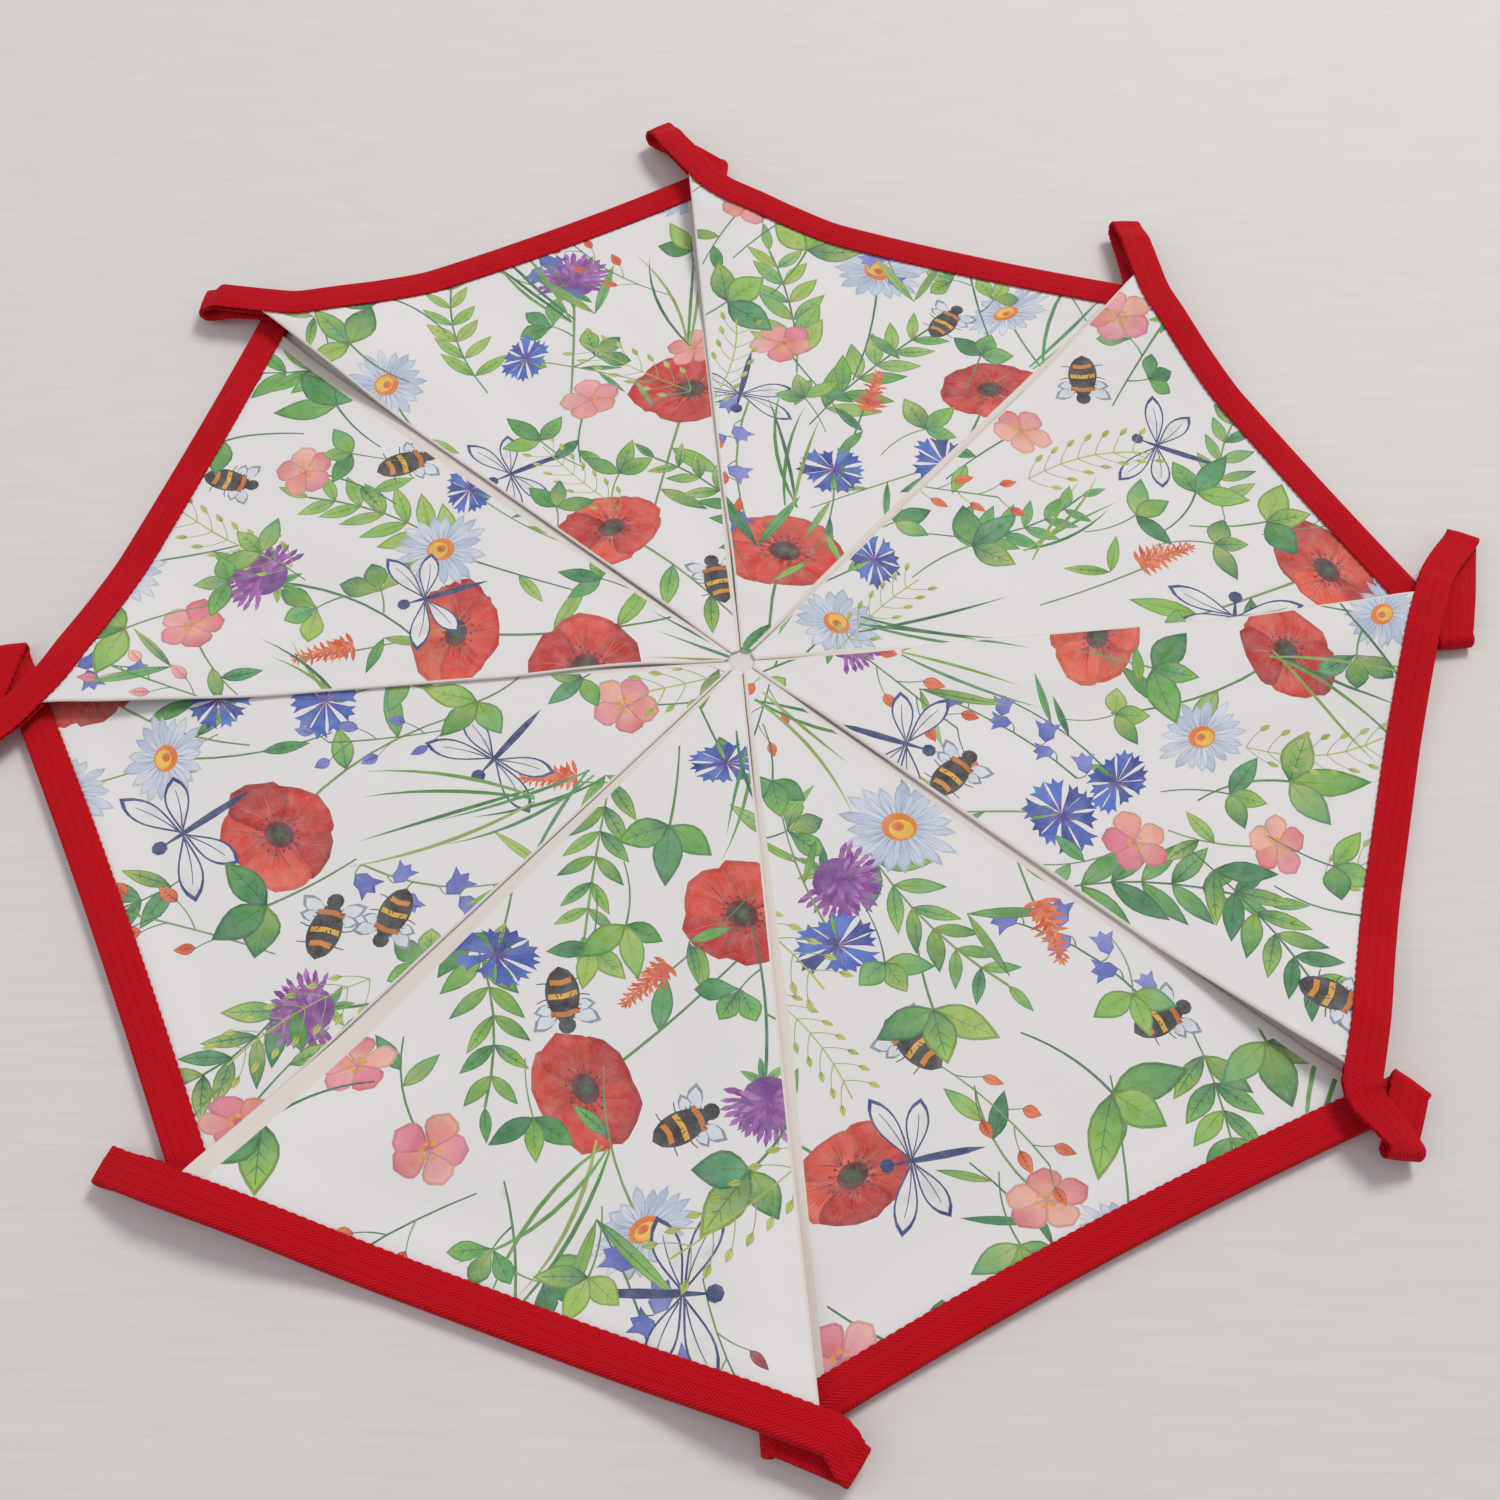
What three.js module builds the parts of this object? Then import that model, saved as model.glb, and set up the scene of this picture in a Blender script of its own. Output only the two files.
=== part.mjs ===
// A fabric bunting laid out as a wheel on a table: eight cotton flags with their points to the middle,
// bound along their top edges by one tape that is folded lengthwise and looped back at each corner.
// Millimetres, +Z up, and the front of the wheel towards -Y.
import * as THREE from "three";

// Cloth and tape
const CLOTH = 1; // thickness of a flag
const TAPE_SHEET = 1; // thickness of each of the folded tape's two layers
const TAPE_WIDTH = 12.5; // a 25 mm tape, folded in half
const GAP = 0.3; // between two pieces that lie on each other
const HOLD_GAP = 0.6; // between a flag and each layer of the tape that holds it
const BOUND_SLOT = CLOTH + 2 * HOLD_GAP; // the room between the layers where a flag is held
const CLOSED_SLOT = GAP; // and where there is none

// Flags
const EDGE_ROOM = 1.6; // between a flag's top edge and the outside of the tape's fold
const SIDE_ANGLE = THREE.MathUtils.degToRad(23); // between a flag's middle line and its long sides
const POINT_RADIUS = 2.2;
const POINT_GAP = 0.2; // half of the space between two flags near the middle of the wheel
const FLARE_FROM = 0.76; // a top edge's flare starts at this share of its half width
const FLARE_BEND = 12; // and reaches its full slope over this length
const SPREAD_FROM = 35; // the flags lie edge to edge as far out as this
const SPREAD_RUN = 45; // and over this length they come to overlap

// How one thing lifts another
const OVER_LIFT = CLOTH + GAP + 0.1; // a side that lies over the next flag
const OVER_FULL = 13; // the lift holds this far in from the side
const OVER_RUN = 28; // and fades over this length
const NARROW_FULL = 0.2; // near the point both are these shares of the distance from the middle
const NARROW_RUN = 0.5;
const OVER_START = 15; // from this far out
const OVER_RISE = 20;
const SEAT_RUN = 18; // the cloth comes down from the binding over this length
const CORNER_FULL = 13; // the lift of a corner that lies on folded tape
const CORNER_RUN = 60;
const CORNER_DROP = 75;
const WAVE_MARGIN = 24; // a flag's soft waves fade out towards its edges

// Loops of tape
const CROSS_HEIGHT = 5.7; // the middle layer of a loop, where it crosses the bound tape
const CROSS_RUN = 16; // it stays that high for this length
const RAMP = 6; // the length over which the tape's lines turn to meet a slanting fold
const FOLD_STEPS = 6;
const CORNER_ROOM = 1.5; // a top strand stays open this far past the flag's corner
const CLOSING = 5.5; // and closes over this length
const FREE_HEIGHT = TAPE_SHEET + CLOSED_SLOT / 2; // the middle of a strand that lies on the table

const WHITE_COTTON = new THREE.MeshStandardMaterial({ color: 0xf2efe9, roughness: 0.9, metalness: 0 });
const RED_TAPE = new THREE.MeshStandardMaterial({ color: 0xbe1423, roughness: 0.85, metalness: 0 });

// heading: the direction of the flag's middle line, in degrees. reach: from the middle of the wheel to the
// tape's folded edge at the flag's corners. left and right: how that side lies on the next flag, seen from
// the middle of the wheel. skew: how much further out its left end is than its middle, from a top edge that
// isn't quite square. sag: how far the top edge bows inwards. leftHeight and rightHeight: the height of the
// tape's underside at that corner. flare: the slope at which the top edge runs outwards near its left end.
// wave: the height of the cloth's waves.
const FLAGS = {
  flag_1: {
    heading: 117.5, reach: 246.4, skew: -0.4, left: "over", right: "under", sag: 5,
    leftHeight: 9, rightHeight: 0, flare: 0.6, wave: 0.9,
  },
  flag_2: {
    heading: 73.05, reach: 238.2, skew: 1.3, left: "over", right: "under", sag: 4.4,
    leftHeight: 9.5, rightHeight: 0, flare: 0.7, wave: 0.8,
  },
  flag_3: {
    heading: 26.85, reach: 247, skew: -2.5, left: "over", right: "under", sag: 2.3,
    leftHeight: 9, rightHeight: 0, flare: 0.3, wave: 0.7,
  },
  flag_4: {
    heading: -16.3, reach: 244.9, skew: 1.2, left: "over", right: "over", sag: -0.3,
    leftHeight: 7.25, rightHeight: 8.5, flare: 0.1, wave: 0.8,
  },
  flag_5: {
    heading: -61.9, reach: 252, skew: 1.2, left: "under", right: "under", sag: 3.1,
    leftHeight: 0, rightHeight: 0, flare: 0, wave: 0.6,
  },
  flag_6: {
    heading: -107.4, reach: 255.4, skew: 2.4, left: "over", right: "beside", sag: 0.4,
    leftHeight: 7.25, rightHeight: 7.25, flare: 0, wave: 0.5,
  },
  flag_7: {
    heading: -153.7, reach: 247.5, skew: -2.5, left: "beside", right: "under", sag: 1.6,
    leftHeight: 0, rightHeight: 0, flare: 0, wave: 0.6,
  },
  flag_8: {
    heading: -196.65, reach: 244, skew: -2.4, left: "over", right: "under", sag: 1.8,
    leftHeight: 7.25, rightHeight: 0, flare: 0.25, wave: 0.7,
  },
};

// past: how far the lower flag's tape runs on beyond its corner. reach: how far the loop stands out from the
// upper flag's corner. swing: turns the loop outwards, in degrees. tipHeight and tipRadius: of the fold at
// the loop's tip. roll: turns the tip about the loop's length, in degrees. hump: arches the top strand.
// carry: how far the top strand keeps to the line of the upper flag's tape before it turns to the tip.
const LOOPS = [
  {
    lower: "flag_7", upper: "flag_8", past: 12, reach: 22, swing: 12,
    tipHeight: 5.2, tipRadius: 1.5, roll: 0, hump: 0.8, carry: 1,
  },
  {
    lower: "flag_8", upper: "flag_1", past: 5.5, reach: 8.5, swing: -2,
    tipHeight: 3, tipRadius: 2.6, roll: 6, hump: 1, carry: 1,
  },
  {
    lower: "flag_1", upper: "flag_2", past: 5.5, reach: 14, swing: 3,
    tipHeight: 3.5, tipRadius: 2.8, roll: 8, hump: 1.5, carry: 1,
  },
  {
    lower: "flag_2", upper: "flag_3", past: 5.5, reach: 23, swing: -2,
    tipHeight: 3.5, tipRadius: 2.8, roll: 8, hump: 1.5, carry: 1,
  },
  {
    lower: "flag_3", upper: "flag_4", past: 4.5, reach: 31.5, swing: 12,
    tipHeight: 3, tipRadius: 1.5, roll: 0, hump: 0.8, carry: 1,
  },
  {
    lower: "flag_5", upper: "flag_4", past: 5.5, reach: 23, swing: 41,
    tipHeight: 5, tipRadius: 2.2, roll: 20, hump: 0.5, carry: 1,
  },
  {
    lower: "flag_5", upper: "flag_6", past: 11, reach: 10, swing: 30,
    tipHeight: 5.3, tipRadius: 1.6, roll: 0, hump: 0.8, carry: 1,
  },
  {
    lower: "flag_7", upper: "flag_6", past: 7, reach: 20, swing: -3,
    tipHeight: 2.5, tipRadius: 1.5, roll: 0, hump: 0.8, carry: 1,
  },
];

// Rows across a flag, as shares of its height, and columns as shares of its half width
const CLOTH_ROWS = [
  0.019, 0.0225, 0.036, 0.073, 0.137, 0.21, 0.307, 0.436, 0.586, 0.72, 0.82, 0.893, 0.954, 1,
];
const CLOTH_COLUMNS = [
  -1, -0.93, -0.86, -0.79, -0.71, -0.61, -0.47, -0.25, 0, 0.25, 0.47, 0.61, 0.71, 0.79, 0.86, 0.93, 1,
];

const UP = new THREE.Vector3(0, 0, 1);
const { clamp, degToRad, lerp } = THREE.MathUtils;

function rise(t) {
  const x = clamp(t, 0, 1);
  return x * x * (3 - 2 * x);
}

function fall(t) {
  return 1 - rise(t);
}

function turned(vector, axis, angle) {
  return vector.clone().applyAxisAngle(axis, angle);
}

// A flag's own axes: v runs out along its middle line, and u to the left as seen from the wheel's middle

const NAMES = Object.keys(FLAGS);

function neighbour(name, side) {
  const step = side > 0 ? -1 : 1;
  return FLAGS[NAMES[(NAMES.indexOf(name) + step + NAMES.length) % NAMES.length]];
}

function makeFlag(name) {
  const row = FLAGS[name];
  const heading = degToRad(row.heading);
  const out = new THREE.Vector3(Math.cos(heading), Math.sin(heading), 0);
  const halfTurn = (side) => {
    const between = Math.abs(row.heading - neighbour(name, side).heading);
    return degToRad(Math.min(between, 360 - between) / 2);
  };
  const top = row.reach - EDGE_ROOM;
  const halfTop = top * Math.tan(SIDE_ANGLE);
  const flared = row.flare * (FLARE_FROM * halfTop + FLARE_BEND / 2);
  const tan = Math.tan(SIDE_ANGLE);
  const left = (tan * (top - flared)) / (1 - row.skew / top - tan * row.flare);
  const right = -halfTop / (1 + row.skew / top);
  const sides = [
    { sign: 1, lies: row.left, height: row.leftHeight, halfTurn: halfTurn(1), corner: left },
    { sign: -1, lies: row.right, height: row.rightHeight, halfTurn: halfTurn(-1), corner: right },
  ];
  return { ...row, out, toLeft: turned(out, UP, Math.PI / 2), sides, top, halfTop };
}

const flags = Object.fromEntries(NAMES.map((name) => [name, makeFlag(name)]));

function toWorld(flag, u, v, z) {
  return new THREE.Vector3(0, 0, z).addScaledVector(flag.out, v).addScaledVector(flag.toLeft, u);
}

function tapeOuter(flag, u) {
  const share = u / flag.halfTop;
  const past = Math.max(0, u - FLARE_FROM * flag.halfTop);
  const bend = Math.min(past, FLARE_BEND);
  const outwards = flag.flare * (past - bend + bend ** 2 / (2 * FLARE_BEND));
  return flag.reach + flag.skew * share - flag.sag * (1 - share ** 2) + outwards;
}

// Where a column meets the top edge. The outermost ones run along the flag's long sides.
function columnTop(flag, column) {
  return Math.abs(column) * flag.sides[column > 0 ? 0 : 1].corner;
}

// Half of the cloth's width on one side, at the distance v
function halfWidth(side, v) {
  const near = v * Math.tan(side.halfTurn) - POINT_GAP;
  const far = v * Math.tan(SIDE_ANGLE);
  const straight = lerp(near, far, rise((v - SPREAD_FROM) / SPREAD_RUN));
  const centre = POINT_GAP / Math.tan(SIDE_ANGLE) + POINT_RADIUS / Math.sin(SIDE_ANGLE);
  if (v > centre) return straight;
  return Math.min(straight, Math.sqrt(Math.max(0, POINT_RADIUS ** 2 - (v - centre) ** 2)));
}

function edgeSlope(flag, u) {
  const flared = flag.flare * clamp((u - FLARE_FROM * flag.halfTop) / FLARE_BEND, 0, 1);
  return (flag.skew + (2 * flag.sag * u) / flag.halfTop) / flag.halfTop + flared;
}

// Height of the cloth's underside. It is the same right across the binding, as the tape lies flat there.
function clothHeight(flag, atU, v) {
  const slope = edgeSlope(flag, atU);
  const steep = Math.hypot(1, slope);
  const u = atU - slope * clamp((tapeOuter(flag, atU) - v) / steep ** 2, 0, TAPE_WIDTH / steep);
  const bound = tapeOuter(flag, u) - TAPE_WIDTH / Math.hypot(1, edgeSlope(flag, u));
  const along = Math.min(v, bound);
  const below = bound - along;
  const full = Math.min(OVER_FULL, NARROW_FULL * along);
  const run = Math.min(OVER_RUN, NARROW_RUN * along);
  let height = (TAPE_SHEET + HOLD_GAP) * fall(below / SEAT_RUN);
  let margin = Math.min(along - SPREAD_FROM, below);
  for (const side of flag.sides) {
    const inside = along * Math.tan(SIDE_ANGLE) - side.sign * u;
    const over = side.lies === "over" ? OVER_LIFT : 0;
    height += over * fall((inside - full) / run) * rise((along - OVER_START) / OVER_RISE);
    const corner = Math.max(0, side.height - over);
    height += corner * fall((inside - CORNER_FULL) / CORNER_RUN) * fall(below / CORNER_DROP);
    margin = Math.min(margin, inside);
  }
  const ripple = Math.sin(u / 17 + flag.sag) * Math.cos(v / 31 - flag.sag);
  return height + flag.wave * ripple ** 2 * rise((margin - WAVE_MARGIN / 2) / WAVE_MARGIN);
}

// A flag: one closed sheet of rows and columns that starts at its rounded point
function clothGeometry(flag) {
  const point = CLOTH_ROWS[0] * flag.top;
  const underside = [toWorld(flag, 0, point, clothHeight(flag, 0, point))];
  for (const share of CLOTH_ROWS.slice(1)) {
    for (const column of CLOTH_COLUMNS) {
      const topU = columnTop(flag, column);
      const topV = tapeOuter(flag, topU) - EDGE_ROOM * Math.hypot(1, edgeSlope(flag, topU));
      const v = share * topV;
      const side = flag.sides[column > 0 ? 0 : 1];
      const u = (share * topU * halfWidth(side, v)) / (v * Math.tan(SIDE_ANGLE));
      underside.push(toWorld(flag, u, v, clothHeight(flag, u, v)));
    }
  }
  const count = underside.length;
  const columns = CLOTH_COLUMNS.length;
  const rows = CLOTH_ROWS.length - 1;
  const at = (row, column) => 1 + row * columns + column;
  const faces = [];
  for (let j = 0; j < columns - 1; j++) faces.push([0, at(0, j + 1), at(0, j)]);
  for (let i = 0; i < rows - 1; i++) {
    for (let j = 0; j < columns - 1; j++) {
      faces.push([at(i, j), at(i, j + 1), at(i + 1, j + 1)], [at(i, j), at(i + 1, j + 1), at(i + 1, j)]);
    }
  }
  const rim = [0];
  for (let i = 0; i < rows; i++) rim.push(at(i, 0));
  for (let j = 1; j < columns; j++) rim.push(at(rows - 1, j));
  for (let i = rows - 2; i >= 0; i--) rim.push(at(i, columns - 1));
  const points = [...underside, ...underside.map((p) => p.clone().addScaledVector(UP, CLOTH))];
  const index = faces.flat().concat(faces.flatMap(([a, b, c]) => [c + count, b + count, a + count]));
  rim.forEach((a, i) => {
    const b = rim[(i + 1) % rim.length];
    index.push(a, b, b + count, a, b + count, a + count);
  });
  return geometryOf(points, index);
}

function geometryOf(points, index) {
  const geometry = new THREE.BufferGeometry().setFromPoints(points);
  geometry.setIndex(index);
  geometry.computeVertexNormals();
  return geometry;
}

// The tape is a row of stations. Each has the middle of its section, the direction of travel, a ruling that
// points to the folded edge, the direction from the lower to the upper layer, and the room between them.

function station(centre, travel, across, face, slant, slot) {
  const ruling = across.clone().addScaledVector(travel, slant).multiplyScalar(TAPE_WIDTH / 2);
  return { centre, travel, across, ruling, face, slot };
}

function boundStation(flag, u) {
  const across = flag.out.clone().addScaledVector(flag.toLeft, -edgeSlope(flag, u)).normalize();
  const height = (at) => clothHeight(flag, at, flag.reach) - HOLD_GAP + BOUND_SLOT / 2;
  const centre = toWorld(flag, u, tapeOuter(flag, u), height(u)).addScaledVector(across, -TAPE_WIDTH / 2);
  const step = 0.5;
  const climb = (height(u - step) - height(u + step)) / (2 * step);
  const travel = across.clone().cross(UP).addScaledVector(UP, climb).normalize();
  return station(centre, travel, across, travel.clone().cross(across), 0, BOUND_SLOT);
}

// A fold: the tape turns half round about an axis in its own plane, towards the side that rise points to
function foldOver(from, slant, radius, riseTo) {
  const axis = from.across.clone().addScaledVector(from.travel, slant).normalize();
  const sense = Math.sign(riseTo.clone().cross(axis).dot(from.travel));
  const hub = from.centre.clone().addScaledVector(riseTo, radius);
  const half = (TAPE_WIDTH / 2) * Math.hypot(1, slant);
  const stations = [];
  for (let i = 1; i <= FOLD_STEPS; i++) {
    const angle = (sense * Math.PI * i) / FOLD_STEPS;
    stations.push({
      centre: hub.clone().addScaledVector(turned(riseTo, axis, angle), -radius),
      travel: turned(from.travel, axis, angle),
      across: turned(from.across, axis, angle),
      ruling: axis.clone().multiplyScalar(half),
      face: turned(from.face, axis, angle),
      slot: CLOSED_SLOT,
    });
  }
  return stations;
}

// The slant of the fold that turns one level direction into another
function slantBetween(from, across, to) {
  const angle = (Math.atan2(from.y, from.x) + Math.atan2(to.y, to.x)) / 2;
  const axis = new THREE.Vector3(Math.cos(angle), Math.sin(angle), 0);
  return axis.dot(from) / axis.dot(across);
}

function away(flag, sign) {
  const end = boundStation(flag, columnTop(flag, sign));
  if (sign > 0) end.travel.negate();
  return end;
}

// A loop, from the lower flag's corner to the upper one's: the bottom strand, a slanting fold, the middle
// strand, the fold at the tip and the top strand
function makeLoop(row) {
  const clockwise = neighbour(row.lower, -1) === FLAGS[row.upper];
  const hand = clockwise ? 1 : -1;
  const start = away(flags[row.lower], -hand);
  const end = away(flags[row.upper], hand);
  const along = start.travel.clone().setZ(0).normalize();
  const outwards = end.travel.clone().setZ(0).normalize();
  const corner = start.centre.clone().addScaledVector(along, row.past).setZ(FREE_HEIGHT);
  const reachTo = turned(outwards, UP, -hand * degToRad(row.swing));
  const tip = end.centre.clone().addScaledVector(reachTo, row.reach).setZ(row.tipHeight);
  const middle = tip.clone().sub(corner).setZ(0);
  const length = middle.length();
  middle.normalize();

  // Bottom strand
  const cornerSlant = slantBetween(along, start.across, middle);
  const bottom = [0.15, 0.45, 0.8, 1].map((share) => {
    const settled = rise((share - 0.15) / 0.65);
    const centre = start.centre.clone().addScaledVector(along, share * row.past);
    centre.z = lerp(start.centre.z, FREE_HEIGHT, settled);
    const slant = cornerSlant * clamp(1 - ((1 - share) * row.past) / RAMP, 0, 1);
    return station(centre, along, start.across, UP.clone(), slant, lerp(BOUND_SLOT, CLOSED_SLOT, settled));
  });

  // Slanting fold
  const cornerFold = foldOver(bottom[3], cornerSlant, (CROSS_HEIGHT - FREE_HEIGHT) / 2, UP);
  const turnedOver = cornerFold[FOLD_STEPS - 1];

  // Middle strand, which lies with its face down
  const roll = hand * degToRad(row.roll);
  const homeward = middle.clone().negate();
  const tipSlant = slantBetween(middle, turnedOver.across, end.centre.clone().sub(tip).setZ(0).normalize());
  const middleStops = [0.09, 0.18, 0.36, 0.54, 0.7, 0.84, 0.92, 1];
  const middleStrand = middleStops.map((share) => {
    const centre = turnedOver.centre.clone().addScaledVector(middle, share * length);
    centre.z = lerp(CROSS_HEIGHT, row.tipHeight, rise((share * length - CROSS_RUN) / (length - CROSS_RUN)));
    const angle = roll * rise(share);
    const slant = cornerSlant * clamp(1 - (share * length) / RAMP, 0, 1)
      + tipSlant * clamp(1 - ((1 - share) * length) / RAMP, 0, 1);
    const across = turned(turnedOver.across, middle, angle);
    return station(centre, middle, across, turned(turnedOver.face, middle, angle), slant, CLOSED_SLOT);
  });

  // Fold at the tip
  const last = middleStrand[middleStops.length - 1];
  const tipFold = foldOver(last, tipSlant, row.tipRadius, turned(UP, middle, roll));
  const first = tipFold[FOLD_STEPS - 1];

  // Top strand, which widens where it takes in the upper flag's corner
  const toFlag = end.travel.clone().multiplyScalar(-row.carry);
  const span = end.centre.distanceTo(first.centre);
  const topStrand = [0.1, 0.22, 0.38, 0.54, 0.7, 0.82, 0.9, 0.96].map((share) => {
    const centre = hermite(first.centre, first.travel, end.centre, toFlag, span, share);
    centre.z += row.hump * Math.sin(Math.PI * share) ** 2;
    const ahead = hermite(first.centre, first.travel, end.centre, toFlag, span, share + 0.01);
    ahead.z += row.hump * Math.sin(Math.PI * (share + 0.01)) ** 2;
    const travel = ahead.sub(centre).normalize();
    const level = UP.clone().cross(travel).normalize().multiplyScalar(hand);
    const across = turned(level, travel, -roll * fall(share / 0.85));
    const face = travel.clone().cross(across).multiplyScalar(hand);
    const slant = tipSlant * clamp(1 - (share * span) / RAMP, 0, 1);
    const slot = lerp(BOUND_SLOT, CLOSED_SLOT, rise(((1 - share) * span - CORNER_ROOM) / CLOSING));
    return station(centre, travel, across, face, slant, slot);
  });
  const lowerPart = [...bottom, ...cornerFold, ...middleStrand];
  return { clockwise, lowerPart, tipFold, topStrand };
}

function hermite(from, fromTravel, to, toTravel, length, share) {
  const s2 = share * share;
  const s3 = s2 * share;
  return from.clone().multiplyScalar(2 * s3 - 3 * s2 + 1)
    .addScaledVector(fromTravel, length * (s3 - 2 * s2 + share))
    .addScaledVector(to, 3 * s2 - 2 * s3)
    .addScaledVector(toTravel, length * (s3 - s2));
}

function boundStations(flag) {
  return CLOTH_COLUMNS.toReversed().map((column) => boundStation(flag, columnTop(flag, column)));
}

// The whole tape, clockwise, from its free end at the first loop round to its other end below that one
function tapeStations() {
  const loops = LOOPS.map(makeLoop);
  const stations = [...loops[0].topStrand];
  const order = ["flag_8", "flag_1", "flag_2", "flag_3", "flag_4", "flag_5", "flag_6", "flag_7"];
  order.forEach((name, i) => {
    stations.push(...boundStations(flags[name]));
    const loop = loops[(i + 1) % loops.length];
    if (i === order.length - 1) {
      stations.push(...loop.lowerPart);
      return;
    }
    const whole = [...loop.lowerPart, ...loop.tipFold, ...loop.topStrand];
    stations.push(...(loop.clockwise ? whole : whole.reverse()));
  });
  return stations;
}

// The folded tape's section at a station, counterclockwise as seen against the direction of travel:
// its lower layer, the fold and its upper layer
function sectionPoints({ centre, ruling, face, slot }) {
  const web = 1 - TAPE_SHEET / (TAPE_WIDTH / 2);
  const outer = slot / 2 + TAPE_SHEET;
  const inner = slot / 2;
  const corners = [
    [-1, -outer], [1, -outer], [1, outer], [-1, outer],
    [-1, inner], [web, inner], [web, -inner], [-1, -inner],
  ];
  return corners.map(([w, n]) => centre.clone().addScaledVector(ruling, w).addScaledVector(face, n));
}

function tapeGeometry() {
  const stations = tapeStations();
  const points = stations.flatMap(sectionPoints);
  const sides = 8;
  const index = [];
  for (let s = 0; s < stations.length - 1; s++) {
    for (let i = 0; i < sides; i++) {
      const a = s * sides + i;
      const b = s * sides + ((i + 1) % sides);
      index.push(a, b, b + sides, a, b + sides, a + sides);
    }
  }
  const cap = [[0, 1, 6], [0, 6, 7], [1, 2, 5], [1, 5, 6], [2, 3, 4], [2, 4, 5]];
  const lastRing = (stations.length - 1) * sides;
  for (const [a, b, c] of cap) index.push(c, b, a, a + lastRing, b + lastRing, c + lastRing);
  return geometryOf(points, index);
}

function addMesh(group, name, geometry, material) {
  const mesh = new THREE.Mesh(geometry, material.clone());
  mesh.name = name;
  group.add(mesh);
}

const bunting = new THREE.Group();
for (const name of NAMES) addMesh(bunting, name, clothGeometry(flags[name]), WHITE_COTTON);
addMesh(bunting, "tape", tapeGeometry(), RED_TAPE);

// The origin is on the table, below the middle of the whole thing
const size = new THREE.Box3().setFromObject(bunting);
const middleOfAll = size.getCenter(new THREE.Vector3());
bunting.position.set(-middleOfAll.x, -middleOfAll.y, -size.min.z);

export default bunting;
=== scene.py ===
"""A fabric bunting laid out as a wheel: eight printed cotton flags, and the red tape that binds them.

Lengths in the tables and in the making of the flags and the tape are in millimetres. Blender's objects are
in metres.
"""

import cmath
import math
import random
from collections import namedtuple

import bpy
import numpy as np
from mathutils import Matrix, Quaternion, Vector
from mathutils.geometry import delaunay_2d_cdt


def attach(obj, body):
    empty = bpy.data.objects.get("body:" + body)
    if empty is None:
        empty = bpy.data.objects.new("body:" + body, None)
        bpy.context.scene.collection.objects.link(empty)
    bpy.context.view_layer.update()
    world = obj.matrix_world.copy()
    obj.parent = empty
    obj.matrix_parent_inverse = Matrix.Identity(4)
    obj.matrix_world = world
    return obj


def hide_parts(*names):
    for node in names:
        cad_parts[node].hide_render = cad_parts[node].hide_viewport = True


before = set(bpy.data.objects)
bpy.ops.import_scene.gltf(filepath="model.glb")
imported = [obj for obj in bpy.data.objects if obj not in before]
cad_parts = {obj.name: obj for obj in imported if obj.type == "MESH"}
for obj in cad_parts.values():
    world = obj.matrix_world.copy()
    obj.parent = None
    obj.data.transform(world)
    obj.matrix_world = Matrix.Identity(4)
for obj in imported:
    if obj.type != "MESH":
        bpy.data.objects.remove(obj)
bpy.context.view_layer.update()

bl_info = {
    "name": "Fabric bunting",
    "version": (1, 0, 0),
    "blender": (4, 5, 0),
    "location": "3D View > Sidebar > Bunting",
    "description": "Eight printed cotton flags laid out as a wheel, bound by one folded twill tape",
    "category": "Add Mesh",
}

MM = 0.001
UP = Vector((0, 0, 1))

# Cloth and tape
CLOTH = 1.0
TAPE_SHEET = 1.0
TAPE_WIDTH = 12.5
GAP = 0.3
HOLD_GAP = 0.6
BOUND_SLOT = CLOTH + 2 * HOLD_GAP  # between the tape's layers, where they hold a flag
CLOSED_SLOT = GAP

# A flag's outline. Near the point its sides follow the neighbours', and then they spread to the full angle.
EDGE_ROOM = 1.6  # from the cloth's top edge to the tape's folded edge
SIDE_ANGLE = math.radians(23)  # between the middle line and a long side
POINT_RADIUS = 2.2
POINT_GAP = 0.2
POINT_START = 4.75  # out from the wheel's middle
INSET_START = 4.65
EDGE_CROWDING = 1.15  # brings a side's points closer together near the flag's point
SPREAD_FROM = 35
SPREAD_RUN = 45
FLARE_FROM = 0.76  # as a share of the top edge's half length
FLARE_BEND = 12
CORNER_STEPS = 20

# A flag's lie. Where a side lies over its neighbour it is lifted, fully at first and then less and less.
OVER_LIFT = CLOTH + GAP + 0.1
OVER_FULL = 13
OVER_RUN = 28
NARROW_FULL = 0.2  # near the point both are shorter, as shares of the distance out
NARROW_RUN = 0.5
OVER_START = 15
OVER_RISE = 20
SEAT_RUN = 18  # over which the cloth comes down from its seat in the tape
CORNER_FULL = 13  # a raised corner's height, in from the side
CORNER_RUN = 60
CORNER_DROP = 75  # and down the flag
WAVE_MARGIN = 24
WAVE_ACROSS = 17
WAVE_ALONG = 31

# The unprinted bands along a flag's sides, slim near the point
BAND_START = 6
BAND_POINTS = 60
BAND_SLIM = 0.9
BAND_SPREAD = 0.03
BAND_PAST = 0.4

# Loops. A strand crosses the tape below it at one height, and then comes down to its tip's height.
CROSS_HEIGHT = 5.7
CROSS_RUN = 16
RAMP = 6  # over which the rulings turn to a fold's slant
FOLD_STEPS = 6
CORNER_ROOM = 1.5  # the layers stay apart this far from a flag's corner
CLOSING = 5.5  # and close over this length
FREE_HEIGHT = TAPE_SHEET + CLOSED_SLOT / 2
SETTLE_RUN = 0.65
ROLL_END = 0.85
BOTTOM_SHARES = (0.15, 0.45, 0.8, 1)
STRAND_SHARES = (0.09, 0.18, 0.36, 0.54, 0.7, 0.84, 0.92, 1)
TOP_SHARES = (0.1, 0.22, 0.38, 0.54, 0.7, 0.82, 0.9, 0.96)

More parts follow.
